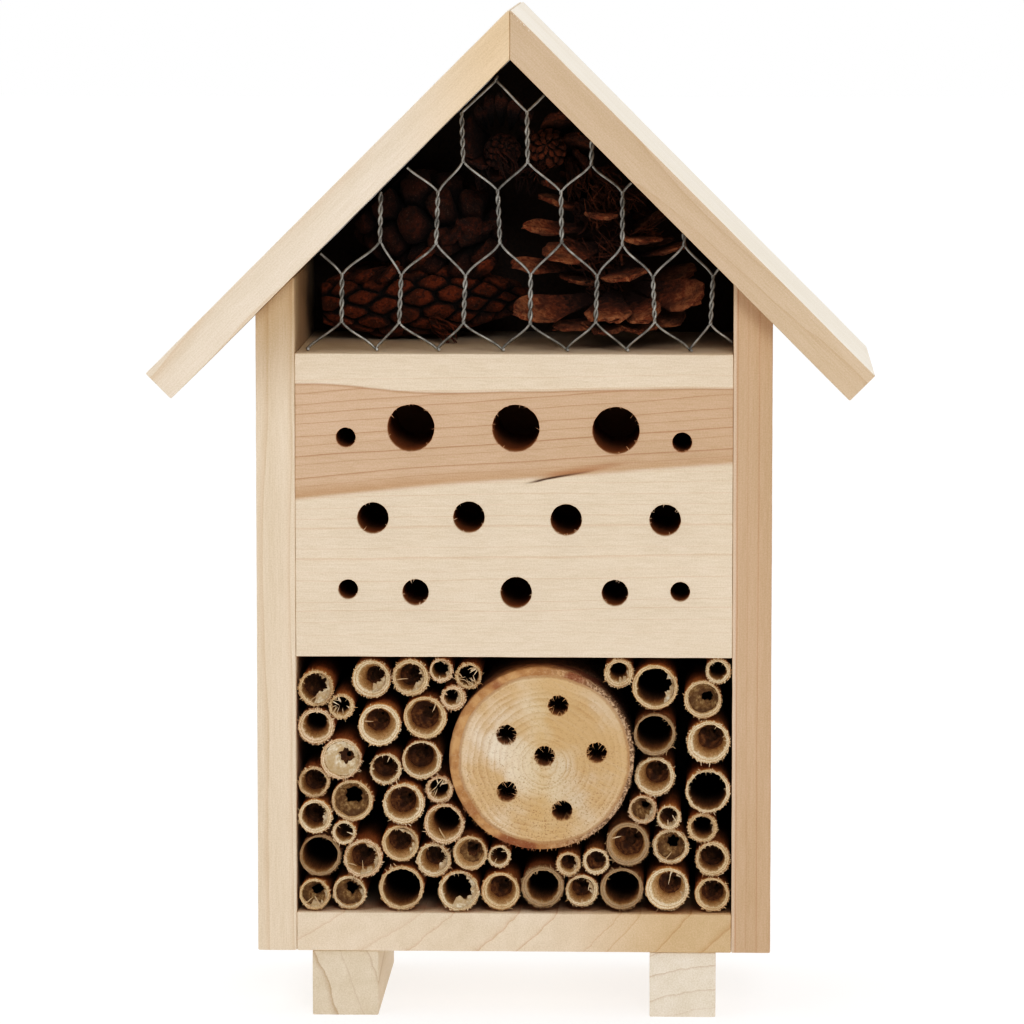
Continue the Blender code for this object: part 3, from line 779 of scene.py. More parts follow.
def stem_shape(radius, look, length, seed):
    """A hollow stem along +Y with its cut end at the origin."""
    bore_share, throat, throat_depth, marks = look
    throat_depth *= MM
    draw = random.Random(seed)
    shape = Shape()
    ragged = 1.0 if "r" in marks else 0.4
    bore = radius * bore_share
    slack = (radius - bore) * 0.25
    shift = Vector((draw.uniform(-1, 1), 0, draw.uniform(-0.2, 1))) * slack
    phase = draw.uniform(0, 6)
    lean = Vector((draw.uniform(-0.5, 0.7), 0, draw.uniform(0.0, 0.8))) * bore * (1 - throat)

    def bumps(angle, pitch, *more):
        return noise_at(math.cos(angle) * pitch, math.sin(angle) * pitch, *more)

    def outline(angle, depth):
        oval = 1 + 0.016 * math.cos(2 * angle + phase)
        ridge = 0.007 * bumps(angle, 9, depth * 60 + phase)
        burr = 0.00022 * ragged * bumps(angle, 21, phase)
        return radius * (oval - 0.026 + ridge) + burr * math.exp(-depth / 0.001)

    def inside(angle, depth):
        rough = 0.05 * bumps(angle, 3, phase + depth * 150)
        shred = 0.05 * ragged * bumps(angle, 13, phase)
        tear = 0.03 * bumps(angle, 30, phase)
        fade = math.exp(-depth / 0.002)
        t = min(depth / throat_depth, 1.0)
        narrow = 1 - (1 - throat) * t * t * (3 - 2 * t)
        return bore * narrow * (1 + rough + (shred + tear) * fade)

    def ring(kind, depth, mark, rough):
        """kind is 0 for the bore, 1 for the outside and between them on the rim."""
        made = []
        t = min(depth / throat_depth, 1.0)
        for step, angle in enumerate(angles(STEM_SIDES)):
            out = spoke(angle)
            if kind <= 0:
                place = shift + lean * t + out * inside(angle, depth)
            elif kind >= 1:
                place = out * outline(angle, depth)
            else:
                inner = shift + out * inside(angle, 0)
                place = inner.lerp(out * outline(angle, 0), kind)
            tear = noise_at(step * 1.7, kind * 5, phase)
            tear += 0.5 * noise_at(step * 0.23, kind, phase + 9)
            place.y = depth + rough * tear
            made.append(shape.point(place, mark))
        return made

    grain = 0.00012 + 0.00014 * ragged
    skin_steps = (length, 0.035, 0.022, 0.013, 0.007, 0.003, 0.0012)
    # Skin and bore marks grow with depth; the finish turns them into painted shade.
    rings = [ring(1, depth, 2 + min(depth / SKIN_SHADE_DEPTH, 1), 0) for depth in skin_steps]
    rings.append(ring(1, 0.0004, 2.03, grain * 0.5))
    rings.append(ring(0.97, 0.0001, 1.97, grain))
    for share in (0.84, 0.68, 0.50, 0.30, 0.12):
        rings.append(ring(share, 0.00002, 1 + share, grain))
    rings.append(ring(0.0, 0.00022, 1.0, grain))
    for depth in (0.0006, 0.0012, 0.002, 0.003, 0.0042, 0.006, 0.009, 0.014, 0.022, 0.034):
        rings.append(ring(0, depth, 1 - min(depth / BORE_SHADE_DEPTH, 1), 0.0))
    end = min(length * 0.8, 0.058)
    rings.append(ring(0, end, 0.0, 0.0))
    shape.loft(rings)
    shape.bridge(rings[-1], [shape.point((shift.x, end, shift.z), 0.0)])
    shape.bridge([shape.point((0, length, 0), 3.0)], rings[0])

    deep = shift + lean * 0.8
    for mark in marks:
        if mark in "sF":
            add_splinters(shape, draw, bore, shift, 4 if mark == "F" else 1)
        elif mark == "w":
            depth = draw.uniform(0.0006, 0.0012)
            hole = draw.uniform(0.62, 0.78)
            add_skin(shape, draw, bore, shift, depth, hole, WHITE, draw.uniform(0.25, 0.5))
        elif mark == "m":
            add_skin(shape, draw, bore * 0.98, shift, 0.0024, draw.uniform(0.30, 0.5), GREY)
        elif mark == "M":
            add_skin(shape, draw, bore * 0.98, shift, 0.0018, 0.42, WHITE)
            add_skin(shape, draw, bore * 0.92, shift, 0.0034, 0.15, BROWN)
        elif mark == "b":
            reach = bore * (throat + 0.06)
            depth = throat_depth * 1.25
            add_skin(shape, draw, reach, deep, depth, draw.uniform(0.40, 0.62), BROWN)
            # The second, nearly whole brown skin behind it is painted light: it puts a dim brown floor where
            # the deep bore would show black.
            add_skin(shape, draw, reach, deep, depth + 0.0022, 0.10, BROWN)

    def lip(angle):
        out = spoke(angle)
        return shift + out * inside(angle, 0) + Vector((0, 0.0002, 0)), -out

    add_fuzz(shape, draw, lip, int(14 + 22 * ragged), 0.0006)
    add_fringe(shape, draw, radius, 160 if ragged > 0.5 else 80, 1.2 + 0.8 * ragged)
    return shape


def make_stems():
    """Detailed stems in place of the CAD tubes, and the thin ones between them."""
    *finishes, drab = [make_stem_material(*row) for row in STEM_FINISHES]
    linings = [make_pith_material(*row) for row in PITH_FINISHES]
    thick = []
    for number in range(1, len(STEM_LOOKS) + 1):
        low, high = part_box(f"stem_{number:02d}")
        thick.append(((low.x + high.x) / 2, (low.z + high.z) / 2, (high.x - low.x) / 2))
    thin = settle(THIN_STEMS, thick + [(LOG_CENTRE.x, LOG_CENTRE.z, LOG_RADIUS)])
    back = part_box("stem_01")[1].y
    looks = list(STEM_LOOKS) + [row[3:] for row in THIN_STEMS]
    for number, ((x, z, radius), look) in enumerate(zip(thick + thin, looks), 1):
        is_thick = number <= len(thick)
        name = f"stem_{number:02d}" if is_thick else f"thin_stem_{number:02d}"
        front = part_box(name)[0].y if is_thick else BLOCK_LOW.y + 0.0008 + 0.0005 * (number % 4)
        finish = drab if "d" in look[3] else finishes[FINISH_TURNS[number % len(FINISH_TURNS)]]
        shape = stem_shape(radius, look, back - front, number * 7 + 3)
        add_piece(
            shape, name + "_cut", (finish, *linings), name if is_thick else None,
            mark="zone", place=(x, front, z),
        )


# ---------------------------------------------------------------- netting

# Twisted pairs, row by row: lower and upper end, then the pairs' X, all in millimetres.
NET_ROWS = (
    (178.5, 191.3, (-44.4, -29.4, -12.9, 4.0, 20.9, 35.6, 50.4)),
    (198.9, 213.0, (-34.4, -19.9, -4.1, 11.9, 27.5, 43.4)),
    (219.4, 233.0, (-28.2, -13.4, 3.2, 19.7)),
    (240.1, 247.0, (-4.9,)),
)
# Where the net is pinned to the floor. Its last wire has no pin and starts beside the wall.
NET_FEET = (-53.4, -35.8, -19.9, -3.3, 13.2, 28.5, 44.8)
LAST_FOOT = (56.5, 0, 173.0)
# The wires' radius, the turns of a twisted pair, and the steps that draw them.
WIRE = 0.36
TWIST_TURNS = 2.5
TWIST_STEPS = 56
# How far a slanting wire without a pair above it goes sideways, and how far others may reach.
NET_STEP = 7.9
NET_REACH = 12


def inside_roof(place):
    """Whether a point in millimetres is under the roof and between the walls."""
    under = ROOF_UNDERSIDE / MM + 0.4 - WIRE * 1.5 - abs(place.x - RIDGE_X / MM)
    return place.z < under and abs(place.x) < INSIDE / MM - WIRE and place.z > FLOOR_Z / MM


def strand(shape, path):
    """A wire along a path in millimetres, cut off where it leaves the opening."""
    runs = [[]]
    for place in path:
        if inside_roof(place):
            runs[-1].append(Vector((place.x * MM, NET_Y + place.y * MM, place.z * MM)))
        elif runs[-1]:
            runs.append([])
    for run in runs:
        if len(run) > 2:
            shape.tube(run, [WIRE * MM] * len(run), 8)


def twist_point(base, top, share, phase):
    angle = 2 * math.pi * TWIST_TURNS * share + phase
    fade = min(1.0, 0.35 + 6 * min(share, 1 - share))
    place = base.lerp(top, share)
    return place + Vector((math.cos(angle), math.sin(angle), 0)) * WIRE * 1.02 * fade


def slanting_wire(start, end, sway, upright=0.42):
    """A single wire from one pair up to the next, a little upright where it leaves each one."""
    across = end - start
    leave = across * 0.62 + Vector((0, 0, abs(across.z))) * upright
    points = []
    for step in range(17):
        t = step / 16
        h00 = 2 * t**3 - 3 * t**2 + 1
        h10 = t**3 - 2 * t**2 + t
        h01 = -2 * t**3 + 3 * t**2
        h11 = t**3 - t**2
        place = start * h00 + leave * h10 + end * h01 + leave * h11
        place.y += 0.25 * math.sin(math.pi * t) * sway
        place.x += 0.12 * math.sin(2 * math.pi * t) * sway
        points.append(place)
    return points


def make_netting():
    """Each wire winds round its neighbour in a pair, then crosses to the other neighbour."""
    shape = Shape()
    draw = random.Random(5)
    pairs = []
    for low, high, places in NET_ROWS:
        row = []
        for x in places:
            lean = draw.uniform(-0.35, 0.35)
            base = Vector((x - lean, draw.uniform(-0.2, 0.2), low + draw.uniform(-0.4, 0.4)))
            top = Vector((x + lean, draw.uniform(-0.2, 0.2), high + draw.uniform(-0.4, 0.4)))
            row.append((base, top))
        pairs.append(row)
    shares = [step / TWIST_STEPS for step in range(TWIST_STEPS + 1)]
    for row in pairs:
        for base, top in row:
            for phase in (0.0, math.pi):
                strand(shape, [twist_point(base, top, share, phase) for share in shares])
    for number, (lower, upper) in enumerate(zip(pairs, pairs[1:])):
        level = NET_ROWS[number + 1][0]
        upright = 0.0 if upper is pairs[-1] else 0.42
        for _, top in lower:
            for side in (-1, 1):
                near = [base for base, _ in upper if 0 < side * (base.x - top.x) < NET_REACH]
                beyond = Vector((top.x + side * NET_STEP, 0, level))
                base = near[0] if near else beyond
                start = top + Vector((side * WIRE, 0, 0))
                end = base - Vector((side * WIRE, 0, 0))
                strand(shape, slanting_wire(start, end, draw.uniform(-1, 1), upright))
    floor = FLOOR_Z / MM
    for foot in NET_FEET:
        pin = Vector((foot, 0.0, floor + 0.55))
        for base, _ in pairs[0]:
            if abs(base.x - foot) < NET_REACH:
                side = 1 if base.x > foot else -1
                end = base - Vector((side * WIRE, 0, 0))
                strand(shape, slanting_wire(pin, end, draw.uniform(-1, 1)))
        knot = ((0, 0, 0.1), (0.3, -0.5, -0.1), (0.5, -1.4, 0.05))
        strand(shape, [pin + Vector(place) for place in knot])
    last_base = pairs[0][-1][0]
    strand(shape, slanting_wire(Vector(LAST_FOOT), last_base + Vector((WIRE, 0, 0)), 0.5))
    add_piece(shape, "netting_wires", (make_wire_material(),), "wire_netting")


# ---------------------------------------------------------------- pine cones

GOLDEN_ANGLE = math.pi * (3 - math.sqrt(5))


def add_scale(shape, place, outward, upward, length, width, thick, curl, draw, blunt=0.40):
    """One woody scale. It starts at place, points outward and curls towards upward."""
    side = outward.cross(upward).normalized()
    upward = side.cross(outward).normalized()
    rows = 15
    columns = 11
    seed = draw.uniform(0, 90)
    rings = []
    for row in range(rows + 1):
        t = row / rows
        half = width / 2 * (0.24 + 0.76 * min(t / 0.74, 1) ** 1.15)
        if t > 0.62:
            half *= math.sqrt(max(0.0, 1 - ((t - 0.62) / 0.40) ** (1 / blunt)))
        body = thick * (0.40 + 0.60 * min(t / 0.7, 1))
        if t > 0.92:
            body *= 0.65
        spine = place + outward * length * t + upward * curl * length * t**2
        ring = []
        for column in range(2 * columns):
            angle = math.pi * column / columns
            across = math.cos(angle)
            over = math.sin(angle)
            torn = 0.20 * noise_at(t * 3, across * 1.6, seed)
            torn = 1 + (torn + 0.08 * noise_at(t * 14, across * 8, seed)) * t
            dish = 0.12 * half * across**2
            lump = 0.30 * thick * noise_at(across * 3.0, t * 3 + over * 0.3, seed)
            rib = 0.26 * thick * noise_at(across * 9, t * 1.2, seed + 5) * min(1, 3 * t)
            over = math.copysign(abs(over) ** 0.55, over)
            lift = dish + over * body / 2 + lump + rib
            spot = spine + side * across * half * torn + upward * lift
            ring.append(shape.point(spot + outward * (torn - 1) * length * 0.5 * t, t))
        rings.append(ring)
    shape.loft(rings)
    shape.bridge([shape.point(place, 0.0)], rings[0])
    tip = place + outward * length * 1.01 + upward * curl * length
    shape.bridge(rings[-1], [shape.point(tip, 1.0)])


def add_core(shape, foot, axis, length, radius):
    """The bare middle of an open cone, thinner towards its top."""
    steps = range(9)
    core = [foot + axis * length * step / 8 for step in steps]
    shape.tube(core, [radius * (1.0 - 0.55 * step / 8) for step in steps], 12, 0.1)


def finish_cone(name, shape, finish):
    """Keep the cone clear of the boards round it and make its piece."""
    reach = INSIDE - 0.0006
    floor = BLOCK_HIGH.z + 0.0003
    net = NET_Y + 0.0016
    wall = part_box("back_panel")[0].y - 0.0006
    for number, (x, y, z) in enumerate(shape.points):
        x = max(-reach, min(reach, x))
        roof = ROOF_UNDERSIDE - 0.0012 - abs(x - RIDGE_X)
        shape.points[number] = (x, max(net, min(wall, y)), max(floor, min(roof, z)))
    add_piece(shape, name + "_scales", (finish,), name, mark="along")


def plate_at(spots, along, angle, girth, grain, reach):
    """The nearest plate: how far its edge is, where the spot lies on it, and its number."""
    best = (1e9, 0, 0, 0)
    second = 1e9
    for number, (place, turn) in enumerate(spots):
        down = (along - place) / grain
        if abs(down) > reach:
            continue
        sweep = (angle - turn + math.pi) % (2 * math.pi) - math.pi
        off = sweep * girth * grain
        span = math.hypot(down, off)
        if span < best[0]:
            second = best[0]
            best = (span, down, off, number)
        elif span < second:
            second = span
    return second - best[0], *best[1:]


def add_shut_cone(shape, middle, axis, length, radius, plates, grain, gap, seed, spin=0.0):
    """A shut cone. Its plates are the cells round the points of a golden spiral.

    grain stretches the plates along the axis, gap is the depth of the cracks between them.
    """
    draw = random.Random(seed)
    axis = Vector(axis).normalized()
    first = axis.cross(Vector((0.1, 0.8, 0.6))).normalized()
    second = axis.cross(first)
    foot = Vector(middle) - axis * length / 2
    spots = []
    lifts = []
    for number in range(plates):
        jitter = draw.uniform(-0.6, 0.6) / plates
        turn = number * GOLDEN_ANGLE + spin + draw.uniform(-0.12, 0.12)
        spots.append((((number + 0.5) / plates + jitter) * length, turn))
        lifts.append(draw.uniform(-0.25, 0.45) * gap)
    size = math.sqrt(length * 2 * math.pi * radius * 0.8 / plates)
    rows = int(8 * math.sqrt(plates)) + 24
    columns = int(10 * math.sqrt(plates)) + 32
    rings = []
    for row in range(rows + 1):
        t = 0.004 + 0.992 * row / rows
        girth = radius * math.sin(math.pi * (0.14 + 0.84 * t)) ** 0.72
        ring = []
        for angle in angles(columns):
            edge, down, off, number = plate_at(spots, t * length, angle, girth, grain, size * 2.2)
            part = min(edge / (0.30 * size), 1.0)
            rise = part * part * (3 - 2 * part)
            dome = 1 - min(1.0, (down**2 + off**2) / (0.75 * size) ** 2)
            tilt = 0.35 * gap * (down - off) / size
            rough = 0.10 * gap * noise_at(t * length * 900, angle * girth * 900, seed)
            lift = gap * (rise - 1) + (lifts[number] + 0.45 * gap * dome + tilt) * rise + rough
            around = first * math.cos(angle) + second * math.sin(angle)
            place = foot + axis * length * t + around * (girth + lift)
            # The mark is lowest in the cracks between plates, as painted shade, and rises towards each
            # plate's crest and raised side.
            mark = 0.05 + rise * (0.52 + 0.34 * dome + 0.10 * (down - off) / size)
            ring.append(shape.point(place, mark))
        rings.append(ring)
    shape.loft(rings)
    shape.bridge([shape.point(foot, 0.1)], rings[0])
    shape.bridge(rings[-1], [shape.point(foot + axis * length, 0.6)])


def add_placed_scale(shape, tip, root, width, turn, thick, blunt, draw):
    """One scale between two given ends, turned from straight up towards the front."""
    tip = Vector(tip) * MM
    root = Vector(root) * MM
    outward = tip - root
    tilt = math.radians(turn)
    upward = Vector((draw.uniform(-0.2, 0.2), -math.sin(tilt), math.cos(tilt)))
    if abs(outward.normalized().dot(upward)) > 0.9:
        upward = Vector((0, -1, 0))
    length = outward.length
    add_scale(shape, root, outward.normalized(), upward, length, width * MM, thick, 0.10, draw, blunt)


def add_tuft(shape, draw, start, end, spread, count, mark):
    """A bundle of dry fibres between two places, loose at its end."""
    def scatter(share):
        return Vector([draw.uniform(-1, 1) for _ in range(3)]) * spread * share

    for _ in range(count):
        root = Vector(start) + scatter(0.4)
        tip = Vector(end) + scatter(1)
        bend = scatter(0.7)
        path = [root.lerp(tip, t) + bend * math.sin(math.pi * t) for t in (0, 0.25, 0.5, 0.75, 1)]
        thick = draw.uniform(0.00018, 0.00042)
        radii = [thick * share for share in (1, 1.2, 1, 0.8, 0.3)]
        shape.tube(path, radii, 6, mark * draw.uniform(0.7, 1.2), squash=0.7)


# Scales placed one by one: tip and root (X, Y, Z), width, and how far the face is turned from
# straight up towards the front, in millimetres and degrees. First the broken open cone.
OPEN_SCALES = (
    ((0, -24, 178.8), (21, -8, 184.5), 11.5, 54), ((23.5, -27, 177), (25, -9, 186), 13.5, 52),
    ((35, -25, 178), (29, -9, 185), 10.5, 50), ((48, -20, 183), (31, -6, 187), 11.5, 52),
    ((11, -20, 174.8), (24, -5, 179), 12.0, 20), ((21, -23, 174.2), (26, -5, 180), 12.5, 15),
    ((32, -22, 174.6), (28, -4, 180), 12.0, 18), ((43, -14, 177), (30, -3, 181), 10.0, 30),
    ((28.5, -22, 188.2), (27, -6, 192), 13.5, 20), ((34, -19, 197.8), (27, -4, 200), 11.0, 24),
    ((20.5, -19, 204), (25, -4, 206), 10.0, 32), ((7.5, -20, 193.5), (23, -5, 198), 12.0, 38),
    ((1.5, -14, 201.0), (20, -2, 202), 7.5, 40), ((-1.5, -16, 191), (17, -2, 192), 7.0, 34),
    ((44, -14, 196), (30, -2, 195), 8.5, 25), ((46, -8, 189), (31, 2, 189), 11.0, 30),
    ((13, -10, 187), (24, 4, 188), 11.0, 10), ((38, -4, 204), (28, 4, 202), 10.0, 20),
    ((6, -4, 208), (21, 4, 206), 9.0, 18), ((14, 6, 180), (25, 8, 184), 13.0, 0),
    ((40, 8, 182), (28, 8, 186), 13.0, 0), ((26, 16, 186), (26, 6, 188), 14.0, -30),
    ((12, 14, 196), (22, 6, 197), 12.0, -10), ((38, 14, 196), (29, 6, 198), 12.0, -10),
)
# A cone high up under the ridge, with narrow scales like fingers above a bare stump.
TOP_SCALES = (
    ((-7.7, -8, 237.0), (-7.0, 4, 228), 3.4, 84), ((-4.4, -9, 238.0), (-4.5, 4, 228), 4.2, 86),
    ((-0.2, -8, 236.5), (-2.2, 4, 227), 4.2, 84), ((3.2, -6, 233.5), (0.5, 4, 226), 3.6, 80),
    ((-10.8, -6, 234.5), (-8.5, 4, 227), 3.6, 80), ((-15.5, -7, 226.0), (-7, 6, 223), 12.0, 74),
    ((-13.5, -4, 218.5), (-7, 6, 221), 9.0, 60), ((5.0, -4, 226.5), (0, 6, 223), 8.0, 60),
    ((4.0, -3, 216.5), (-2, 8, 219), 9.0, 50), ((-9.0, -1, 213.5), (-6, 8, 219), 9.0, 44),
)
# A wide dark cone behind, to the right of the ridge.
RIGHT_SCALES = (
    ((9.5, -6, 233.0), (12, 8, 224), 11.0, 62), ((16.5, -6, 227.5), (14, 10, 219), 11.0, 72),
    ((19.0, -5, 219.5), (15, 10, 217), 10.0, 66), ((24.0, -2, 216.0), (18, 12, 213), 9.0, 46),
    ((7.5, -8, 212.0), (12, 8, 212), 6.5, 50), ((30.5, -2, 208.5), (21, 12, 209), 9.0, 40),
    ((14.0, 0, 214.5), (16, 12, 213), 9.0, 50), ((10.0, 2, 206.0), (17, 12, 209), 9.0, 30),
    ((23.0, -3, 209.0), (18, 10, 209), 8.0, 36), ((34.0, 4, 203.5), (22, 14, 206), 8.0, 30),
)
# Raised scales on the shut cones.
CLOSED_EXTRAS = (
    ((-21.5, 2, 194.6), (-31.5, 11, 188.5), 9.0, 24), ((-6.2, 2, 192.0), (-13.5, 10, 187.0), 7.0, 20),
    ((-31.5, 1, 190.0), (-38.5, 10, 186.0), 7.5, 40), ((-38.5, 4, 188.5), (-44.5, 12, 185.5), 6.5, 30),
)
LEFT_EXTRAS = (
    ((-14.5, -2, 199.2), (-23.0, 9, 198.0), 9.0, 40), ((-6.5, 0, 201.0), (-14.0, 11, 200.5), 8.0, 46),
)
# Tufts of torn fibre: start, end, spread, count and how bright.
OPEN_TUFTS = (
    ((26, -4, 186), (22, -12, 190), 5.0, 60, 0.45), ((26, -4, 196), (24, -12, 198), 5.0, 50, 0.45),
    ((24, -4, 205), (22, -10, 209), 5.0, 46, 0.55), ((20, -6, 192), (14, -12, 197), 3.5, 30, 0.5),
    ((30, -6, 200), (36, -12, 203), 3.0, 26, 0.6),
)
TOP_TUFTS = (
    ((-9, 2, 218), (-9, -4, 213.5), 2.2, 26, 0.6), ((-4, -8, 222), (-2, -12, 217), 2.4, 26, 0.8),
    ((2, 4, 218), (2, -4, 212.5), 2.8, 36, 0.6),
)
RIGHT_TUFTS = (
    ((13, 2, 219), (15.5, -6, 211), 2.6, 30, 0.75), ((20, 0, 216), (24, -8, 213), 3.4, 40, 0.7),
    ((26, -2, 211), (31, -8, 208), 3.0, 34, 0.75), ((16, -2, 208), (18, -8, 203), 3.0, 30, 0.6),
    ((7, 0, 220), (5, -8, 216), 2.4, 24, 0.7),
)


def make_placed_cone(name, scales, core, girth, thick, blunt, finish, seed, bodies=(), tufts=()):
    """A cone from scales placed one by one, with shut bodies and tufts of torn fibre.

    core is its low and high end, and girth its radius. A body is its middle, axis, length,
    radius, number of plates, grain, gap and spin.
    """
    draw = random.Random(seed)
    shape = Shape()
    if core:
        low, high = [Vector(end) * MM for end in core]
        add_core(shape, low, (high - low).normalized(), (high - low).length, girth)
    for tip, root, width, turn in scales:
        add_placed_scale(shape, tip, root, width, turn, thick, blunt, draw)
    for middle, axis, length, radius, plates, grain, gap, spin in bodies:
        add_shut_cone(
            shape, Vector(middle) * MM, axis, length * MM, radius * MM, plates, grain, gap * MM, seed, spin,
        )
    for start, end, spread, count, mark in tufts:
        add_tuft(shape, draw, Vector(start) * MM, Vector(end) * MM, spread * MM, count, mark)
    finish_cone(name, shape, finish)


def make_cones():
    # The open cone low at the front takes the brown finish. The others sit further in and higher under the
    # roof, and their darker finishes are partly their own colour and partly painted shade.
    brown = make_cone_material("cone_brown", tone(48, 19, 8), tone(120, 65, 36), tone(160, 108, 74))
    russet = make_cone_material("cone_russet", tone(18, 6, 3), tone(84, 36, 14), tone(124, 61, 26))
    dark = make_cone_material("cone_dark", tone(22, 8, 3), tone(82, 38, 17), tone(122, 66, 33))
    make_placed_cone(
        "pine_cone_open", OPEN_SCALES, ((26, 2, 176), (24, 2, 212)), 0.0095, 0.0016, 0.50, brown, 31,
        tufts=OPEN_TUFTS,
    )
    make_placed_cone(
        "pine_cone_closed", CLOSED_EXTRAS, None, 0, 0.0022, 0.42, russet, 4,
        bodies=(((-24.5, 12, 181.9), (1.0, 0.0, 0.03), 55.0, 8.9, 80, 1.30, 1.4, 0.0),),
        tufts=(((-22.5, 3, 177.0), (-17.5, -3, 173.5), 2.2, 26, 1.0),),
    )
    make_placed_cone(
        "pine_cone_back", (), None, 0, 0, 0, dark, 8,
        bodies=(((-36.0, 30, 182.0), (-1.0, 0.20, 0.0), 36.0, 9.0, 60, 1.0, 1.6, 0.0),),
    )
    # Umber is the darkest finish, for the two cones deep under the ridge: partly their own colour, partly
    # painted shade.
    umber = make_cone_material("cone_umber", tone(12, 4, 2), tone(50, 18, 6), tone(80, 35, 13))
    make_placed_cone(
        "pine_cone_upper_left", LEFT_EXTRAS, None, 0, 0.0030, 0.34, umber, 12,
        bodies=(((-22.5, 15, 201.5), (0.80, -0.42, -0.20), 42.0, 12.5, 34, 0.95, 4.4, 0.2),),
    )
    make_placed_cone(
        "pine_cone_top", TOP_SCALES, None, 0, 0.0022, 0.34, umber, 33,
        bodies=(((-4.0, -4, 221.6), (0.2, -0.9, 0.2), 12.0, 4.3, 60, 1.0, 0.9, 0.0),), tufts=TOP_TUFTS,
    )
    make_placed_cone(
        "pine_cone_upper_right", RIGHT_SCALES, ((18, 18, 206), (13, 6, 221)), 0.0070, 0.0018, 0.45, dark, 34,
        bodies=(((7.6, -4, 222.4), (0.0, -0.9, 0.2), 12.0, 4.4, 46, 1.3, 1.2, 0.4),), tufts=RIGHT_TUFTS,
    )


# ---------------------------------------------------------------- boards, block, log, nails

def board_corners(name):
    """The corners of a board's face, where the lines of its sides cross. Y stays 0."""
    points = [vertex.co for vertex in NODES[name].data.vertices]
    sides = BOARDS[name]
    reach = [max(point.dot(out) for point in points) + grow for out, grow in sides]
    corners = []
    for index, (second, _) in enumerate(sides):
        first = sides[index - 1][0]
        turn = first.x * second.z - first.z * second.x
        x = (reach[index - 1] * second.z - reach[index] * first.z) / turn
        z = (reach[index] * first.x - reach[index - 1] * second.x) / turn
        corners.append(Vector((x, 0, z)))
    return corners


def rounded_loop(corners, inset, rounding, seed):
    """Points round a board's face, with rounded corners and edges that aren't quite true."""
    count = len(corners)
    sides = []
    for index, corner in enumerate(corners):
        along = (corners[(index + 1) % count] - corner).normalized()
        sides.append((along, Vector((-along.z, 0, along.x))))
    middle = sum(corners, Vector()) / count
    if sides[0][1].dot(corners[0] - middle) < 0:
        sides = [(along, -out) for along, out in sides]
    loop = []
    for index, corner in enumerate(corners):
        before = sides[index - 1]
        here = sides[index]
        bend = before[0].angle(here[0])
        pull = rounding * math.tan(bend / 2)
        centre = corner - before[0] * pull - before[1] * rounding
        for step in range(4):
            out = before[1].slerp(here[1], step / 3)
            loop.append(centre + out * (rounding - inset))
        length = (corners[(index + 1) % count] - corner).length
        start = centre + here[1] * (rounding - inset)
        pieces = max(2, round(length / 0.0028))
        following = sides[(index + 1) % count]
        cut_off = pull + rounding * math.tan(here[0].angle(following[0]) / 2)
        for step in range(1, pieces):
            spot = start + here[0] * (length - cut_off) * step / pieces
            waver = noise_at(spot.x * 160, spot.z * 160, seed) * 0.00005
            loop.append(spot + here[1] * waver)
    return loop


def board_shape(name, rounding=0.00035):
    """A board from front to back, without its front face. Gives the front loop as well."""
    low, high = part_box(name)
    if name == "back_panel":
        low = low - Vector((0, JOINT, 0))
    corners = board_corners(name)
    seed = sum(ord(letter) for letter in name) * 0.37
    shape = Shape()
    rings = []
    ends = ((0.85, 0.0), (0.5, 0.12), (0.2, 0.4), (0.0, 1.0))
    for inset, depth in ends:
        rings.append((inset * rounding, low.y + depth * rounding))
    for step in range(1, 12):
        rings.append((0.0, low.y + (high.y - low.y) * step / 12))
    for inset, depth in reversed(ends):
        rings.append((inset * rounding, high.y - depth * rounding))
    loops = []
    for inset, y in rings:
        loop = rounded_loop(corners, inset, rounding, seed + y * 40)
        loops.append([shape.point((p.x, y, p.z)) for p in loop])
    shape.loft(loops)
    shape.face(loops[-1])
    return shape, loops[0]


def add_drilled_hole(shape, hole, face_y, ragged, seed):
    """A blind hole with a worn lip. Gives the lip's loop on the face, to be cut out of it."""
    draw = random.Random(seed)
    phase = draw.uniform(0, 9)
    x, z, diameter = hole
    place = Vector((x * MM, face_y, z * MM))
    radius = diameter * MM / 2

    def reach(angle, level):
        chip = noise_at(math.cos(angle) * 9, math.sin(angle) * 9, phase)
        fine = noise_at(math.cos(angle) * 24, math.sin(angle) * 24, phase + 3)
        fade = math.exp(-level / 0.0012)
        wear = ragged * fade * (0.10 * chip + 0.08 * fine)
        return radius * (1 + wear) + 0.0002 * math.exp(-level / 0.00012)

    loops = []
    for level in (0.0, 0.00008, 0.0002, 0.0005, 0.001, 0.002, 0.004, 0.008, 0.016, HOLE_DEPTH):
        loop = []
        for angle in angles(HOLE_SIDES):
            spot = place + spoke(angle) * reach(angle, level) + Vector((0, level, 0))
            # The mark grows over the first 3 mm of depth; the finishes turn it into painted shade on the
            # hole's wall.
            loop.append(shape.point(spot, min(1.0, level / 0.003)))
        loops.append(loop)
    shape.loft(loops)
    end = place + Vector((0, HOLE_DEPTH + radius * 0.5, 0))
    shape.bridge(loops[-1], [shape.point(end, 1.0)])

    def lip(angle):
        out = spoke(angle)
        return place + out * reach(angle, 0.0002) + Vector((0, 0.0002, 0)), -out

    add_fuzz(shape, draw, lip, int(6 + 40 * ragged), radius * (0.12 + 0.35 * ragged), 0.35)
    return loops[0]


def add_slivers(shape, draw, start, end, outward, count, longest):
    """Torn fibres along a sawn edge from start to end."""
    for _ in range(count):
        root = start.lerp(end, draw.random())
        lean = Vector((draw.uniform(-0.6, 0.6), draw.uniform(-0.5, 0.3), draw.uniform(-0.6, 0.6)))
        reach = longest * draw.uniform(0.3, 1.0)
        ahead = (outward + lean).normalized() * reach
        thick = draw.uniform(0.00008, 0.00018)
        path = [root - ahead * 0.2, root + ahead * 0.5, root + ahead]
        shape.tube(path, [thick, thick * 0.9, thick * 0.3], 4)


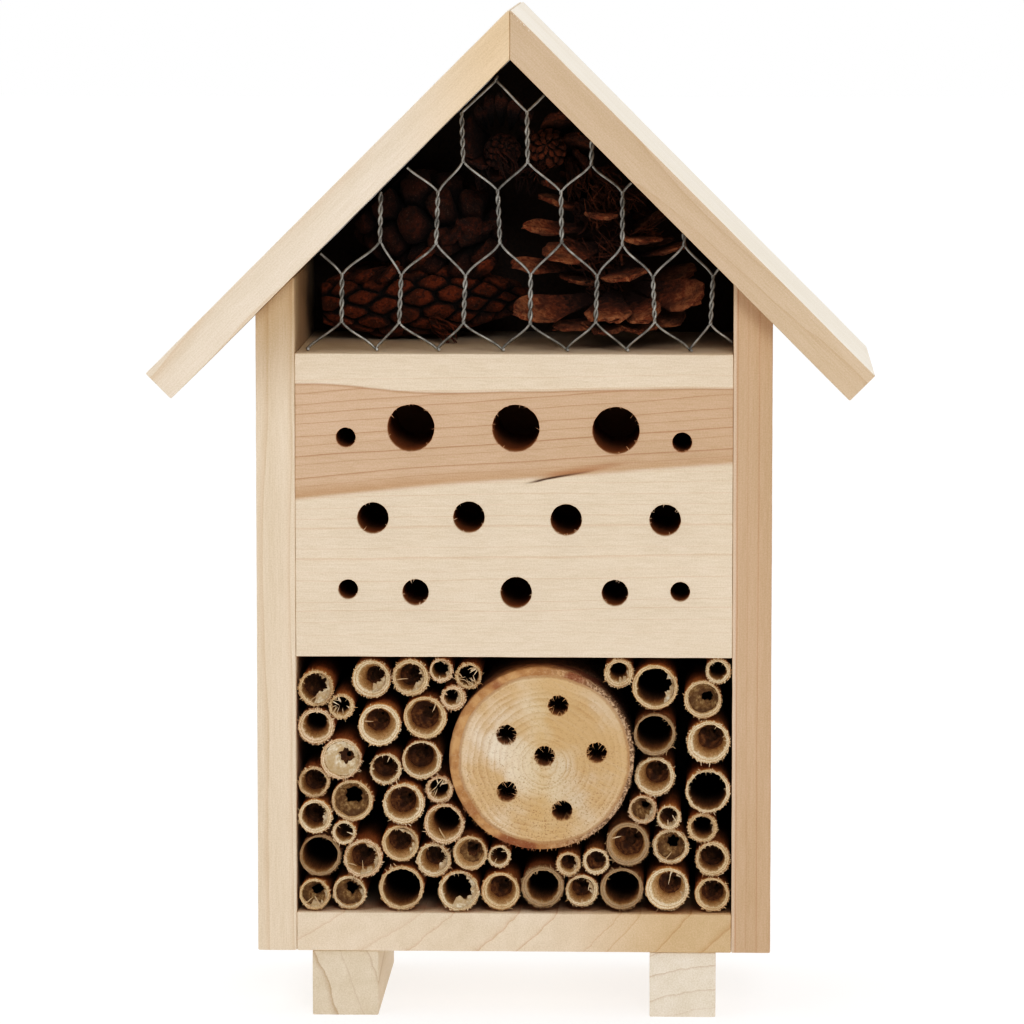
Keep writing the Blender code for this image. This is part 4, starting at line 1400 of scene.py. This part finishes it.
def make_boards():
    draw = random.Random(21)
    for name, finish in make_board_materials().items():
        shape, front = board_shape(name)
        shape.face(front)
        if name == "roof_right":
            # Torn fibres where the saw came out, from just under the ridge down the slope.
            face_y = shape.points[front[0]][1]
            top = Vector((RIDGE_X + 0.0004, face_y + 0.0002, 0.2588))
            end = top + Vector((0.0045, 0, -0.0047))
            add_slivers(shape, draw, top, end, Vector((-0.4, -0.3, -0.5)), 34, 0.0010)
        add_piece(shape, name + "_board", (finish,), name, 40)


def make_block():
    shape, front = board_shape("drilled_block", 0.0003)
    loops = [front]
    for seed, hole in enumerate(BLOCK_HOLES, 60):
        loops.append(add_drilled_hole(shape, hole, BLOCK_LOW.y, 0.22, seed))
    shape.fill(loops)
    add_piece(shape, "nest_block", (make_block_material(),), "drilled_block", 40)


def make_log():
    """A sawn log end. The bark stands proud in places and is torn low down."""
    shape = Shape()
    draw = random.Random(77)
    length = LOG_HIGH.y - LOG_LOW.y

    def reach(angle, depth):
        x = math.cos(angle)
        z = math.sin(angle)
        slow = noise_at(x * 1.7, z * 1.7, 4.0 + depth * 20)
        lumps = noise_at(x * 7, z * 7, depth * 130)
        flakes = noise_at(x * 26, z * 26, depth * 300)
        rough = 0.35 + 0.65 * max(0.0, math.cos(angle - 0.3))
        return LOG_RADIUS * (0.992 + 0.012 * slow + 0.008 * lumps * rough + 0.007 * flakes * rough)

    steps = [(0.0006, 0.0), (0.0002, 0.0001), (0.0, 0.0004), (0.0, 0.0012)]
    steps += [(0.0, length * step / 20) for step in range(1, 20)]
    steps += [(0.0, length - 0.0006), (0.0006, length)]
    rings = []
    for inset, depth in steps:
        ring = []
        for angle in angles(LOG_SIDES):
            out = spoke(angle) * (reach(angle, depth) - inset)
            ring.append(shape.point(LOG_CENTRE + out + Vector((0, depth, 0))))
        rings.append(ring)
    shape.loft(rings)
    shape.face(rings[-1])
    cuts = [rings[0]]
    for seed, hole in enumerate(LOG_HOLES, 80):
        cuts.append(add_drilled_hole(shape, hole, LOG_CENTRE.y, 0.9, seed))
    shape.fill(cuts)
    for _ in range(150):
        out = spoke(draw.uniform(-2.6, 0.9))
        root = LOG_CENTRE + out * LOG_RADIUS * 0.985 + Vector((0, 0.0002, 0))
        side = root + Vector((-out.z, 0, out.x)) * 0.001
        add_slivers(shape, draw, root, side, out, 1, 0.0009)
    add_piece(shape, "log_end", (make_log_material(),), "log_slice", 45)


def make_nails():
    """The nails keep their CAD shape, with metal on it."""
    finish = make_nail_material()
    for name, node in NODES.items():
        if "nail" in name:
            node.data.materials.clear()
            node.data.materials.append(finish)


# ---------------------------------------------------------------- stage, light, camera

def make_stage():
    """A floor of pale paper, lit from inside like a light table."""
    reach = 6.0
    corners = [(-reach, -reach, 0), (reach, -reach, 0), (reach, reach, 0), (-reach, reach, 0)]
    mesh = bpy.data.meshes.new("floor")
    mesh.from_pydata(corners, [], [(0, 1, 2, 3)])
    floor = bpy.data.objects.new("floor", mesh)
    bpy.context.scene.collection.objects.link(floor)
    g = Graph("light_table")
    paper = g.mix(g.noise(g.place(), 40.0, 2.0), tone(150, 150, 150), tone(156, 156, 156))
    white = (1.0, 1.0, 1.0, 1.0)
    glow = {"Emission Color": white, "Emission Strength": 0.72}
    g.fill(g.shader, {"Base Color": paper, "Roughness": 0.9, **glow})
    mesh.materials.append(g.material)


def aim(made, place, target):
    """Put a light or a camera at a place, looking at a target."""
    made.location = place
    made.rotation_euler = (Vector(target) - made.location).to_track_quat("-Z", "Y").to_euler()
    bpy.context.scene.collection.objects.link(made)


def add_light(name, place, size, power):
    light = bpy.data.lights.new(name, "AREA")
    light.shape = "RECTANGLE"
    light.size = size
    light.size_y = size
    light.energy = power
    aim(bpy.data.objects.new(name, light), place, (0, 0, 0.13))


def make_light():
    """White paper all round, dimmer on the camera's side, so that hollows stay dark."""
    world = bpy.data.worlds.new("studio")
    bpy.context.scene.world = world
    world.use_nodes = True
    tree = world.node_tree
    back = tree.nodes["Background"]
    back.inputs["Color"].default_value = (1.0, 1.0, 1.0, 1.0)
    direction = tree.nodes.new("ShaderNodeTexCoord").outputs["Generated"]
    split = tree.nodes.new("ShaderNodeSeparateXYZ")
    tree.links.new(direction, split.inputs[0])
    fade = tree.nodes.new("ShaderNodeMapRange")
    fade.interpolation_type = "SMOOTHSTEP"
    # The strength is 0.18 where Y is under -0.60, and 1 from -0.10 on.
    for socket, number in zip(fade.inputs[1:5], (-0.60, -0.10, 0.18, 1.0)):
        socket.default_value = number
    tree.links.new(split.outputs["Y"], fade.inputs[0])
    tree.links.new(fade.outputs[0], back.inputs["Strength"])
    add_light("key", (-0.80, -1.30, 1.70), 0.9, 6.6)
    add_light("front", (0.30, -1.85, 0.95), 0.6, 10.4)
    add_light("fill", (1.10, -1.60, 0.90), 0.7, 2.4)
    settings = bpy.context.scene.view_settings
    settings.view_transform = "Standard"
    settings.use_curve_mapping = True
    curve = settings.curve_mapping.curves[3]
    for place, value in TONE_CURVE:
        curve.points.new(place, value)
    settings.curve_mapping.update()


def make_camera():
    """The eye stands a little right of the house and above it, far away, and looks down."""
    camera = bpy.data.cameras.new("camera")
    camera.sensor_width = 36.0
    camera.lens = 209.8
    made = bpy.data.objects.new("camera", camera)
    eye = (0.0528, -1.551, 0.2965)
    target = (-0.00045, BLOCK_LOW.y, 0.1310)
    aim(made, eye, target)
    bpy.context.scene.camera = made


def main():
    make_camera()
    make_light()
    make_stage()
    make_boards()
    make_block()
    make_log()
    make_nails()
    make_stems()
    make_netting()
    make_cones()


main()
